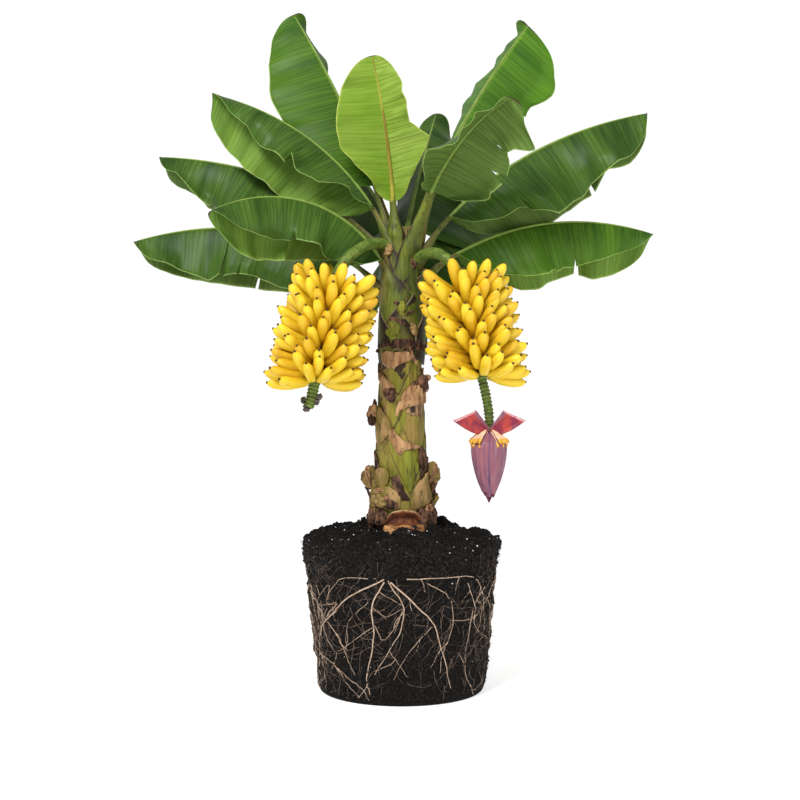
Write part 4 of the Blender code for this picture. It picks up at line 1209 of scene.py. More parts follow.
@dataclass
class OldSheaths:
    """All the dried remains on the stem."""

    # how far each row of the cut foot stands out and how high it is, at its ends and in its middle, in mm
    MOUTH_OUT = (
        (10, 18), (14, 23), (15, 25), (12, 18), (8, 8), (12, 18), (18, 38), (22, 50), (26, 60), (28, 65),
        (26, 62), (18, 46),
    )
    MOUTH_HEIGHT = (
        (530, 572), (531, 574), (529, 570), (526, 564), (522, 552), (520, 536), (524, 528), (526, 528),
        (520, 520), (505, 505), (488, 486), (462, 462),
    )

    thickness: float = 0.0016
    carried: tuple[Remnant, ...] = made_of(
        Remnant.drawn,
        ("sheath_foot_left", TAN, 3, 0.2,
         (628, 186, 204, 6), (645, 180, 206, 22), (668, 178, 208, 34), (690, 180, 208, 38),
         (706, 186, 204, 34)),
        ("sheath_foot_right", TAN, 3, 0.2,
         (648, 338, 352, 4), (662, 334, 360, 20), (682, 332, 362, 32), (702, 332, 362, 36),
         (716, 338, 356, 34)),
        ("sheath_foot_back", BROWN, 4, 0.3,
         (520, 52, 124, 6), (550, 50, 128, 12), (585, 56, 122, 18), (610, 68, 112, 26)),
        ("sheath_upper_back", TAN, 3.5, 0.4,
         (900, 60, 96, 2), (930, 46, 112, 5), (965, 36, 124, 8), (1000, 40, 118, 12), (1030, 58, 104, 20)),
        ("sheath_middle_left", GREEN_TAN, 2, 0.4,
         (777, 188, 219, 1), (802, 188, 236, 3), (827, 188, 249, 4), (852, 188, 241, 5), (877, 188, 228, 6),
         (898, 188, 215, 7)),
        ("sheath_middle_right", TAN, 2.5, 0.5,
         (866, 255, 260, 1), (884, 257, 267, 3), (899, 260, 292, 4), (910, 263, 345, 6), (936, 272, 352, 7),
         (953, 281, 352, 8), (967, 295, 340, 9)),
        ("sheath_upper_front", TAN, 2.5, 0.5,
         (1016, 238, 249, 2), (1024, 226, 258, 3), (1034, 218, 273, 4), (1045, 214, 295, 5),
         (1057, 212, 294, 6), (1070, 225, 289, 7)),
    )
    loose: tuple[Remnant, ...] = made_of(
        Remnant.drawn,
        ("saddle", TAN, 2, 0.4,
         (745, 258, 269, 1), (760, 256, 277, 3), (768, 254, 310, 4), (777, 252, 301, 4), (789, 248, 275, 4),
         (806, 244, 263, 4), (825, 241, 255, 5)),
        ("flap_left", TAN, 2, 0.5,
         (946, 224, 253, 4), (961, 215, 250, 4), (978, 204, 236, 4), (995, 188, 217, 4),
         (1011, 188, 199, 5)),
        ("flap_left_tip", BROWN, 3, 0.3,
         (920, 237, 251, 6), (930, 232, 257, 8), (942, 226, 258, 7), (955, 227, 253, 5)),
        ("strip_diagonal", BROWN, 2.5, 0.3,
         (603, 273, 284, 3), (617, 267, 280, 6), (638, 259, 275, 7), (659, 252, 271, 7), (678, 248, 266, 6)),
        ("band_right", BROWN, 2, 0.3,
         (659, 311, 345, 2), (693, 310, 350, 4), (726, 308, 346, 4), (751, 307, 336, 3), (768, 306, 322, 2)),
        ("tongue", GREEN, 1.5, 0.6,
         (628, 284, 291, 1), (655, 279, 294, 4), (693, 276, 297, 6), (735, 274, 299, 6), (758, 275, 298, 4)),
        ("lobe_right_front", GREEN_TAN, 2.5, 0.4,
         (573, 288, 352, 1), (596, 286, 352, 8), (622, 289, 352, 12), (647, 297, 352, 13),
         (668, 310, 343, 14), (687, 325, 335, 16)),
        ("lump_sheet", GREEN_TAN, 4.5, 0.5,
         (575, 203, 266, 4), (592, 206, 269, 9), (613, 209, 267, 12), (632, 211, 260, 10),
         (649, 218, 240, 6)),
        ("lobe_left_front", GREEN_TAN, 2.5, 0.4,
         (638, 195, 231, 3), (655, 187, 241, 7), (676, 191, 245, 10), (693, 203, 244, 12),
         (703, 219, 239, 13)),
        ("foot_brown_left", BROWN, 4, 0.4,
         (521, 202, 248, 12), (542, 203, 250, 14), (563, 202, 245, 12), (580, 199, 235, 6)),
        ("foot_brown_right", BROWN, 4, 0.4,
         (525, 296, 333, 12), (546, 295, 338, 14), (563, 298, 341, 12), (578, 306, 350, 6)),
        ("spike_left", BROWN, 2, 0.3,
         (585, 196, 216, 2), (602, 192, 208, 10), (622, 187, 198, 22), (642, 183, 187, 34)),
        ("spike_right", GREEN_TAN, 2, 0.3,
         (545, 322, 346, 4), (570, 328, 349, 12), (592, 334, 352, 22), (612, 345, 354, 34)),
        ("strand_left", TAN, 1, 0.2, (1028, 218, 222, 7), (1050, 213, 216, 8), (1082, 215, 219, 8)),
        ("strand_right", TAN, 1, 0.2,
         (1030, 308, 312, 7), (1058, 296, 300, 9), (1096, 283, 288, 9)),
        ("strand_middle", TAN, 1, 0.2,
         (1030, 306, 310, 8), (1045, 298, 302, 9), (1062, 290, 295, 8)),
    )
    lumps: tuple[Lump, ...] = made_of(
        Lump.drawn,
        (268, 1093, 9, 66, 34, 24), (240, 1092, 8, 46, 26, 20, BROWN, -12), (300, 1090, 10, 44, 30, 22),
        (206, 1088, 8, 40, 22, 18), (286, 1097, 8, 36, 26, 24, BROWN, 20), (248, 1086, 4, 30, 18, 16),
        (312, 1092, 6, 32, 40, 24), (336, 1088, 10, 30, 26, 24), (350, 1084, 12, 22, 18, 20, GREEN_TAN),
        (226, 1084, 4, 34, 16, 16), (192, 1075, 8, 22, 14, 24), (188, 1022, 6, 16, 30, 14),
        (324, 970, 20, 34, 50, 34, BROWN, 12), (330, 988, 28, 20, 20, 22, TAN),
        (306, 965, 8, 30, 22, 16, BROWN, 25), (196, 872, 18, 30, 64, 34, TAN, -10),
        (200, 856, 22, 22, 36, 26), (193, 905, 14, 10, 30, 12, BROWN, 15), (246, 924, 8, 22, 24, 14),
        (232, 603, 14, 56, 34, 22, GREEN_TAN, -15), (252, 592, 12, 44, 26, 20),
        (226, 630, 10, 40, 22, 18, TAN), (244, 612, 14, 22, 16, 14, TAN, 30), (214, 552, 12, 44, 50, 26),
        (234, 545, 12, 40, 40, 24), (312, 548, 14, 52, 40, 26), (332, 540, 12, 36, 50, 22),
        (322, 575, 12, 30, 26, 20, TAN), (300, 520, 22, 40, 34, 24), (194, 672, 16, 12, 66, 52, GREEN_TAN),
        (344, 682, 18, 12, 70, 46, GREEN_TAN), (316, 1356, 12, 36, 40, 30), (284, 1236, 6, 20, 18, 10),
        (250, 1134, 12, 46, 52, 18, GREEN), (271, 1206, 12, 26, 42, 16, GREEN),
        (262, 1166, 10, 52, 14, 18, BROWN, -24), (290, 1192, 9, 34, 14, 18, BROWN, 30),
        (258, 1222, 10, 24, 14, 16, BROWN, -30), (302, 1140, 12, 28, 40, 18, GREEN_TAN, 14),
        (216, 1392, 14, 36, 46, 30, GREEN_TAN, -20),
    )

    def mouth(self) -> None:
        """The cut foot of a leaf: a pale arch over a red-brown hollow, with a swollen lip below it."""
        azimuth = np.linspace(246, 302, 48)
        w = np.clip(1 - ((azimuth - 274) / 29.0) ** 2, 0, 1) ** 0.5
        outs, heights = (
            np.array([mix(ends / 1000, middle / 1000, w) for ends, middle in rows])
            for rows in (self.MOUTH_OUT, self.MOUTH_HEIGHT)
        )
        rows = smooth_curve(np.stack([np.arange(12.0), outs[:, 24], heights[:, 24]], axis=-1), 4)[:, 0]
        out = np.array([np.interp(rows, np.arange(12), outs[:, k]) for k in range(48)]).T
        high = np.array([np.interp(rows, np.arange(12), heights[:, k]) for k in range(48)]).T
        place = around(azimuth, 0.098 + out, high)
        rough = grains(place, 0.016, 31)
        dent = np.exp(-((azimuth - 282) / 6.5) ** 2)[None] * np.exp(-((high - 0.497) / 0.014) ** 2)
        place += outward(azimuth)[None] * (rough * 0.0022 - 0.012 * dent)[..., None]
        place[..., 2] += grain(place, 0.014, 33) * 0.0022
        skin = Skin()
        for kind in range(3):
            low, high_row = {2: (0, 1.5), 0: (1.5, 6.5), 1: (6.5, 11)}[kind]
            part = place[(rows >= low - 0.01) & (rows <= high_row + 0.26)]
            skin.grid(part, kind=kind)
        finishes = Finish.MOUTH, Finish.LIP, Finish.CREAM
        piece = skin.build("old_sheath_foot_front", *finishes, weld=1e-5, thickness=0.003)
        deliver(piece, "dry_sheath", "sheath_foot_front")

    def build(self) -> None:
        """Builds each carried sheath, and the loose remains as one piece."""
        stem = Stem()
        for scrap in self.carried:
            skin = Skin().grid(scrap.points(stem)[:, ::-1])
            piece = skin.build("old_" + scrap.name, scrap.finish, thickness=self.thickness)
            deliver(piece, "dry_sheath", scrap.name)
        self.mouth()
        behind = [scrap.turned(turn, up) for turn, up in ((152, 0.012), (232, -0.02)) for scrap in self.loose]
        behind += [self.carried[5].turned(140, -0.06), self.carried[6].turned(-112, 0.03)]
        skin = Skin()
        for scrap in (*self.loose, *behind):
            skin.grid(scrap.points(stem)[:, ::-1], kind=DRIED.index(scrap.finish))
        deliver(skin.build("sheath_scraps", *DRIED, thickness=self.thickness), "dry_sheath")
        skin = Skin()
        behind = [lump.turned(150, 0.004) for lump in self.lumps if 215 < lump.azimuth < 325]
        for lump in (*self.lumps, *behind):
            skin.grid(lump.points(), closed=True, caps=True, kind=DRIED.index(lump.finish))
        deliver(skin.build("sheath_clumps", *DRIED), "dry_sheath")


# ---- leaves
BACK_SHAPE = (360, 260, 160, 115, 100, 100, 100, 100, 100)  # as for Leaf.left_shape


class Age(Enum):
    """How far a leaf has ripened and what light is painted on its sides: its upper, under and rib finishes.
    """

    YOUNG = (Finish.YOUNG_UPPER, Finish.YOUNG_UNDER, Finish.YOUNG_RIB)
    BRIGHT = (Finish.BRIGHT_UPPER, Finish.FRESH_UNDER, Finish.RIB)
    SUNLIT = (Finish.SUNLIT_UPPER, Finish.FRESH_UNDER, Finish.RIB)
    # under side brightened as painted light shining through it
    FRESH = (Finish.UPPER, Finish.FRESH_UNDER, Finish.RIB)
    # under side darkened as painted shade
    FULL = (Finish.UPPER, Finish.UNDER, Finish.RIB)


@dataclass(frozen=True)
class Tear:
    """A slit in a blade along its side veins."""

    side: int  # 1 for the left half, -1 for the right one
    t: float  # where it is along the blade
    start: float  # how far from the rib it starts, 1 at the margin
    gap: float  # how wide it opens at the margin, in metres


@dataclass
class Leaf:
    """One leaf by the same rule as its solids, carried to finer detail.

    Angles are in degrees; left and right are seen from the stem towards the tip.
    """

    name: str
    azimuth: float
    foot: float
    rise: float
    tip: float
    sweep: float
    petiole: float
    blade: float
    left: float
    right: float
    fold_left: float
    fold_right: float
    roll: float = 0.0
    ruffle: float = 0.02
    phase: float = 0.0
    ease: float = 1.0
    belly: float = 0.85
    age: Age = Age.FULL
    tears: tuple[Tear, ...] = ()
    left_shape: Optional[tuple[int, ...]] = None  # widths in per cent at even steps from foot to tip
    right_shape: Optional[tuple[int, ...]] = None
    order: int = 0

    STEPS = 64
    FOOT_WIDTH = 0.03
    RIB_ROOT = 0.0135
    RIB_TIP = 0.004
    CURL = 15.0
    VEIN_LEAN = 0.1
    FLAT_WIDTH = 0.09
    STATIONS = 132
    ACROSS = 17
    THICKNESS = 0.0011
    FOLD_STEPS = 14
    RIB_RING = (  # section of the midrib: across and above, in half widths
        (-0.48, 0.04), (-0.34, 0.16), (-0.16, 0.05), (0, 0), (0.16, 0.05), (0.34, 0.16), (0.48, 0.04),
        (0.62, -0.25), (0.56, -0.55), (0.28, -0.78), (0, -0.84), (-0.28, -0.78), (-0.56, -0.55),
        (-0.62, -0.25),
    )
    WAVES = (  # height, how it grows outward, waves along and across, and the seed's step
        (0.016, 1.3, 3.2, 0.4, 70),
        (0.012, 1.6, 8, 0.8, 0),
        (0.003, 1.0, 26, 0.7, 50),
        (0.001, 1.0, 75, 1.0, 60),
    )

    def __post_init__(self) -> None:
        """Lays out the midrib."""
        self.length = self.petiole + self.blade
        s = np.linspace(0, 1, self.STEPS + 1)
        rise = np.radians(mix(self.rise, self.tip, s**self.ease))
        level = outward(self.azimuth + self.sweep * s * s)
        self.tangents = level * np.cos(rise)[:, None]
        self.tangents[:, 2] = np.sin(rise)
        self.sides = np.stack([-level[:, 1], level[:, 0], np.zeros_like(s)], axis=-1)
        start = outward(self.azimuth) * (0.75 * stem_radius(self.foot))
        start[2] = self.foot
        moves = self.tangents[:-1] * (self.length / self.STEPS)
        self.points = np.vstack([start, start + np.cumsum(moves, axis=0)])

    def spine(self, s: Array) -> tuple[Array, Array, Array, Array]:
        """Point, tangent, side and normal of the midrib at fractions of its length."""
        f = np.clip(s, 0, 1) * self.STEPS
        i = np.minimum(f.astype(int), self.STEPS - 1)
        f = (f - i)[..., None]
        point = self.points[i] * (1 - f) + self.points[i + 1] * f
        tangent = unit(self.tangents[i] * (1 - f) + self.tangents[i + 1] * f)
        side = self.sides[i] * (1 - f) + self.sides[i + 1] * f
        side = unit(side - tangent * (side * tangent).sum(-1, keepdims=True))
        return point, tangent, side, np.cross(tangent, side)

    @staticmethod
    def rolled(side: Array, normal: Array, roll: Array) -> tuple[Array, Array]:
        """Side and normal turned about the midrib."""
        return side * np.cos(roll) + normal * np.sin(roll), normal * np.cos(roll) - side * np.sin(roll)

    def surface(self, t: Array, v: Array, sign: int, droop: Array) -> Array:
        """Points of the upper face.

        Args:
            t: fractions along the blade.
            v: how far from the rib, 1 at the margin.
            sign: 1 for the left half, -1 for the right one.
            droop: extra fold in degrees at each point.

        Returns:
            Points of the same shape as t.
        """
        t = np.clip(t, 0, 1)
        point, tangent, side, normal = self.spine(mix(self.petiole / self.length, 1.0, t))
        whole, fold = (self.left, self.fold_left) if sign > 0 else (self.right, self.fold_right)
        outline = np.sqrt(np.maximum(0.0, 1 - np.abs(2 * t**self.belly - 1) ** 2.5))
        shape = self.left_shape if sign > 0 else self.right_shape
        if shape:
            outline = outline * np.interp(t, np.linspace(0, 1, len(shape)), np.array(shape) / 100)
        width = whole * outline * (1 + 0.022 * drift(t * 14, t * 0 + sign * 3.3 + self.azimuth, 5))
        width = np.maximum(mix(self.RIB_ROOT, self.RIB_TIP, t), width)
        bend = ramp(width / self.FLAT_WIDTH)
        across, above = self.rolled(side, normal, math.radians(self.roll))
        place = point.copy()
        for k in range(self.FOLD_STEPS):
            w = v * (k + 0.5) / self.FOLD_STEPS
            b = np.radians((fold + self.CURL * w + droop * ramp((w - 0.15) / 0.5)) * bend)[..., None]
            out = across * (sign * np.cos(b)) - above * np.sin(b)
            place = place + (out + tangent * self.VEIN_LEAN) * (width * v / self.FOLD_STEPS)[..., None]
        face = across * (sign * np.sin(b)) + above * np.cos(b)
        ends = np.minimum(1, 8 * t) * np.minimum(1, 5 * (1 - t))
        wave = self.ruffle * v**2 * np.sin(2 * np.pi * 2.5 * t + self.phase + (0.0 if sign > 0 else 2.1))
        seed = int(self.azimuth) + (1 if sign > 0 else 0)
        shift = 1.7 * self.phase + sign + 2.2 * drift(t * 5, v * 0.6, seed + 7)
        wave = wave + 0.0042 * v**1.7 * np.sin(2 * np.pi * 6.7 * t + shift)
        for height, power, along, out, step in self.WAVES:
            wave = wave + height * v**power * drift(t * along, v * out, seed + step)
        return place + face * (wave * ends)[..., None]

    def half(self, skin: Skin, sign: int) -> None:
        """Adds one half of the blade, panel by panel between its tears."""
        tears = sorted((t for t in self.tears if t.side == sign), key=lambda tear: tear.t)
        bounds = [None, *tears, None]
        v = np.linspace(0, 1, self.ACROSS) ** 0.92
        for n, (before, after) in enumerate(zip(bounds, bounds[1:])):
            low, high = (before.t if before else 0.0), (after.t if after else 1.0)
            count = max(4, int(round(self.STATIONS * (high - low))))
            u = np.linspace(0, 1, count)
            if before is None:
                u = u**1.25
            if after is None:
                u = 1 - (1 - u) ** 1.35
            tt, vv = np.meshgrid(low + (high - low) * u, v, indexing="ij")
            share = np.linspace(0, 1, count)[:, None]
            starts = [x.start for x in (before, after) if x]
            if before:
                opened = ramp((vv - before.start) / (1 - before.start))
                tt = tt + (1 - share) ** 3 * before.gap / 2 / self.blade * opened
            if after:
                opened = ramp((vv - after.start) / (1 - after.start))
                tt = tt - share**3 * after.gap / 2 / self.blade * opened
            droop = np.zeros_like(tt)
            if starts:
                amount = 15.0 * math.sin(2.4 * n + self.azimuth)
                droop = amount * ramp((vv - max(starts)) / max(0.05, 1 - max(starts)))
            points = self.surface(tt, vv, sign, droop)
            scorch = ramp((tt - 0.988) / 0.012) + 0.3 * ramp((vv - 0.965) / 0.03)
            for tear in tears:
                near = np.exp(-((np.abs(tt - tear.t) * self.blade / 0.004) ** 2)) * (vv > tear.start)
                scorch = np.maximum(scorch, 0.45 * near)
            chart = np.stack([sign * vv, tt * self.blade], axis=-1)
            if sign > 0:
                points, chart, vv, scorch = points[:, ::-1], chart[:, ::-1], vv[:, ::-1], scorch[:, ::-1]
            skin.grid(points, chart=chart, across=vv, scorch=scorch)

    def build_blade(self) -> None:
        """Builds the blade with its midrib."""
        skin = Skin()
        for sign in (1, -1):
            self.half(skin, sign)
        upper, under, rib = self.age.value
        name, thickness = "leaf_" + self.name, self.THICKNESS
        blade = skin.build(name, upper, under, weld=2e-5, thickness=thickness, under=1)
        t = np.linspace(-0.01, 0.985, 64)
        point, tangent, side, normal = self.spine(mix(self.petiole / self.length, 1.0, t))
        across, above = self.rolled(side, normal, math.radians(self.roll) * ramp(t / 0.06)[:, None])
        w = mix(self.RIB_ROOT, self.RIB_TIP * 0.6, np.clip(t, 0, 1) ** 0.8)[:, None, None]
        ring = np.array(self.RIB_RING)
        section = across[:, None] * ring[None, :, :1] + above[:, None] * ring[None, :, 1:]
        rings = point[:, None] + section * w
        line = Skin().grid(rings[:, ::-1], closed=True, caps=True)
        deliver(joined(blade, line.build("rib_" + self.name, rib)), "leaf", "blade_" + self.name)

    def build_petiole(self) -> None:
        """Builds the petiole as a gutter that opens out into a sheath round the stem."""
        end = self.petiole / self.length
        reach = 0.2
        rows, columns = 64, 27
        path = np.linspace(0, 1, rows)
        turn = 0.4  # part of the rows on the stem
        below = path < turn
        low = self.foot - reach
        f = np.clip((path - turn) / (1 - turn), 0, 1) ** 1.1
        point, tangent, side, normal = self.spine(end * f)
        height = np.where(below, mix(low, self.foot, path / turn), point[:, 2])
        q = np.linspace(-1, 1, columns)
        depth = np.clip((self.foot - height) / 0.135, 0, 1)
        span = np.where(below, mix(62, 150, depth), mix(62, 52, np.clip(f / 0.3, 0, 1)))
        radius = stem_radius(height) + 0.0022 + 0.0007 * self.order * ramp((height - 1.05) / 0.06)
        on_stem = around(self.azimuth + span[:, None] * q, radius[:, None], height[:, None])
        foot = min(self.FOOT_WIDTH * 1.32, 1.15 * float(stem_radius(self.foot)) + 0.004)
        w = mix(foot, self.RIB_ROOT * 0.68, ramp(f * 1.2) ** 0.7)
        angle = np.radians(108 * q)
        section = side[:, None] * np.sin(angle)[None, :, None]
        section = section - normal[:, None] * (0.82 * np.cos(angle))[None, :, None]
        gutter = point[:, None] + section * w[:, None, None]
        gutter += (height - point[:, 2])[:, None, None] * np.array((0.0, 0.0, 1.0))
        weight = ramp((path - turn * 0.55) / (turn * 0.45 + 0.6 * 0.28))[:, None, None]
        points = on_stem * (1 - weight) + gutter * weight
        sag = (1 - weight[..., 0]) * (-0.05 + 0.05 * np.abs(q)[None, :])
        points[..., 2] += sag * np.where(below, 1 - path / turn, 0)[:, None]
        free = ramp((path - 0.35) / 0.3)[:, None]
        # edge band at the sheath's margins, whose dark part is partly painted shade where it laps over the
        # stem
        edge = np.abs(q) ** mix(2.4, 5.0, free) * mix(0.93, 1.06, free)
        dry = 0.4 * ramp((0.16 - path) / 0.16)[:, None] * np.ones(columns)
        scar = 0.3 * (grains(points, 0.03, 90 + self.order) > 0.25) * ramp((0.75 - path) / 0.2)[:, None]
        scar = np.maximum(scar, 0.5 * ramp((0.17 - path) / 0.1)[:, None])
        tone = np.broadcast_to(0.1 + 0.25 * ramp((path - 0.5) / 0.4)[:, None], points.shape[:2])
        skin = Skin().grid(points[:, ::-1], edge=edge[:, ::-1], dry=dry, scar=scar[:, ::-1], tone=tone)
        piece = skin.build("petiole_skin_" + self.name, Finish.PETIOLE, thickness=0.0042)
        deliver(piece, "petiole", "petiole_" + self.name)


def joined(keep: Solid, *others: Solid) -> Solid:
    """Joins objects into the first one, with every finish they have."""
    with bpy.context.temp_override(active_object=keep, selected_editable_objects=[keep, *others]):
        bpy.ops.object.join()
    return keep


@dataclass
class Crown:
    """All the leaves, from the newest to the oldest."""

    leaves: tuple[Leaf, ...] = (
        Leaf(
            "centre", 215, 1.43, 87, 74, 0, 0.12, 0.46, 0.092, 0.16, 12, 8, roll=50, ruffle=0.008, ease=1.2,
            age=Age.YOUNG, left_shape=(84, 90, 134, 158, 92, 106, 110, 94, 92),
            right_shape=(46, 50, 74, 94, 100, 98, 90, 88, 80),
        ),
        Leaf(
            "left_upright", 160, 1.42, 74, 54, -20, 0.2, 0.68, 0.195, 0.19, 2, 66, roll=-48, ruffle=0.008,
            belly=1.0, age=Age.BRIGHT, left_shape=(140, 130, 120, 101, 107, 103, 94, 88, 86),
            right_shape=(140, 90, 72, 52, 60, 63, 74, 89, 90),
        ),
        Leaf(
            "right_upright", 8, 1.37, 77, 52, 0, 0.3, 0.56, 0.17, 0.23, 95, 0, roll=108, ruffle=0.01,
            ease=0.8, belly=1.3, age=Age.SUNLIT, tears=(Tear(-1, 0.55, 0.7, 0.006),),
            right_shape=(122, 106, 90, 78, 80, 80, 96, 102, 112),
        ),
        Leaf(
            "back_small", 72, 1.43, 58, 40, 6, 0.06, 0.6, 0.15, 0.15, 40, 40, ease=1.2,
            right_shape=(340, 240, 140, 105, 100, 100, 100, 100, 100),
            left_shape=(340, 320, 240, 135, 66, 70, 86, 66, 40),
        ),
        Leaf(
            "left_high", 181, 1.405, 70, 13, -3, 0.14, 0.65, 0.13, 0.205, 52, 70, roll=12, ease=0.9,
            age=Age.FRESH, tears=(Tear(1, 0.44, 0.45, 0.006),),
            left_shape=(90, 90, 106, 120, 113, 104, 75, 77, 64),
            right_shape=(90, 80, 89, 98, 96, 100, 96, 96, 104),
        ),
        Leaf(
            "right_front", 316, 1.37, 71, 12, -2, 0.22, 0.42, 0.2, 0.15, 48, 22, roll=-5, ruffle=0.02,
            ease=1.3, tears=(Tear(1, 0.62, 0.55, 0.012), Tear(1, 0.4, 0.7, 0.01)),
            left_shape=(100, 100, 95, 94, 80, 64, 78, 124, 136),
            right_shape=(108, 125, 135, 135, 135, 104, 72, 86, 96),
        ),
        Leaf(
            "back_left", 115, 1.38, 60, -10, 0, 0.12, 0.68, 0.19, 0.19, 50, 50, ease=1.2,
            tears=(Tear(1, 0.35, 0.4, 0.012), Tear(-1, 0.6, 0.5, 0.01)), left_shape=BACK_SHAPE,
            right_shape=BACK_SHAPE,
        ),
        Leaf(
            "left_middle", 172, 1.355, 60, 2, 4, 0.22, 0.65, 0.2, 0.19, 60, 50, ruffle=0.03, ease=0.65,
            tears=(Tear(1, 0.66, 0.75, 0.006), Tear(-1, 0.55, 0.6, 0.008)),
            left_shape=(68, 76, 68, 72, 84, 82, 74, 60, 80),
            right_shape=(114, 98, 106, 114, 110, 112, 122, 92, 112),
        ),
        Leaf(
            "right_high", 0, 1.34, 62, 8, -8, 0.2, 0.72, 0.19, 0.208, 60, 58, ruffle=0.035, ease=0.85,
            tears=(Tear(-1, 0.28, 0.7, 0.008), Tear(1, 0.64, 0.6, 0.012)),
            left_shape=(112, 112, 116, 124, 126, 116, 88, 114, 122),
            right_shape=(68, 66, 72, 118, 108, 94, 94, 96, 98),
        ),
        Leaf(
            "back_right", 50, 1.32, 50, -16, 0, 0.04, 0.74, 0.19, 0.19, 55, 55, ease=1.2,
            tears=(Tear(1, 0.4, 0.5, 0.012), Tear(-1, 0.3, 0.6, 0.01)), left_shape=BACK_SHAPE,
            right_shape=BACK_SHAPE,
        ),
        Leaf(
            "left_front", 207, 1.29, 72, -30, 0, 0.08, 0.635, 0.185, 0.205, 68, 58, phase=1.0, ease=0.85,
            age=Age.FRESH, tears=(Tear(1, 0.54, 0.8, 0.008), Tear(-1, 0.51, 0.7, 0.008)),
            left_shape=(80, 80, 88, 82, 76, 76, 76, 67, 52),
            right_shape=(80, 70, 84, 92, 97, 102, 109, 117, 122),
        ),
        Leaf(
            "right_low", 4, 1.28, 46, -18, 0, 0.17, 0.67, 0.22, 0.214, 58, 64, ease=0.9, age=Age.BRIGHT,
            tears=(Tear(-1, 0.44, 0.55, 0.012), Tear(-1, 0.58, 0.6, 0.014), Tear(1, 0.62, 0.5, 0.014)),
            left_shape=(106, 94, 104, 102, 100, 88, 96, 104, 114),
            right_shape=(58, 70, 88, 92, 74, 70, 66, 56, 54),
        ),
        Leaf(
            "left_low", 170, 1.25, 57, -17, 10, 0.17, 0.745, 0.19, 0.205, 62, 66, phase=0.5, ease=0.65,
            tears=(Tear(1, 0.56, 0.3, 0.01), Tear(1, 0.47, 0.8, 0.01), Tear(-1, 0.4, 0.5, 0.01)),
            left_shape=(116, 110, 100, 86, 86, 98, 90, 90, 86),
            right_shape=(116, 100, 96, 96, 96, 92, 94, 90, 98),
        ),
        Leaf(
            "back_low", 95, 1.27, 44, -30, 0, 0.14, 0.6, 0.19, 0.19, 58, 58, ease=1.2,
            tears=(Tear(1, 0.5, 0.5, 0.012), Tear(-1, 0.35, 0.5, 0.012)), left_shape=BACK_SHAPE,
            right_shape=BACK_SHAPE,
        ),
    )

    def build(self) -> None:
        """Builds each leaf and its petiole."""
        for order, leaf in enumerate(self.leaves):
            leaf.order = order
            leaf.build_petiole()
            leaf.build_blade()


# ---- fruit
def bent_piece(name: str, spine: Array, ups: Array, radii: Array, tip: Array) -> Solid:
    """Small closed piece round a spine along +X, with the way up and a ring of radii at each point."""
    angle = np.linspace(0, 2 * math.pi, radii.shape[1], endpoint=False)
    up = (np.cos(angle) * radii)[..., None] * ups[:, None]
    side = (-np.sin(angle) * radii)[..., None] * np.array((0.0, 1.0, 0.0))
    rings = spine[:, None] + up + side
    return Skin().grid(rings[:, ::-1], closed=True, caps=True, tip=tip[:, None]).build(name)


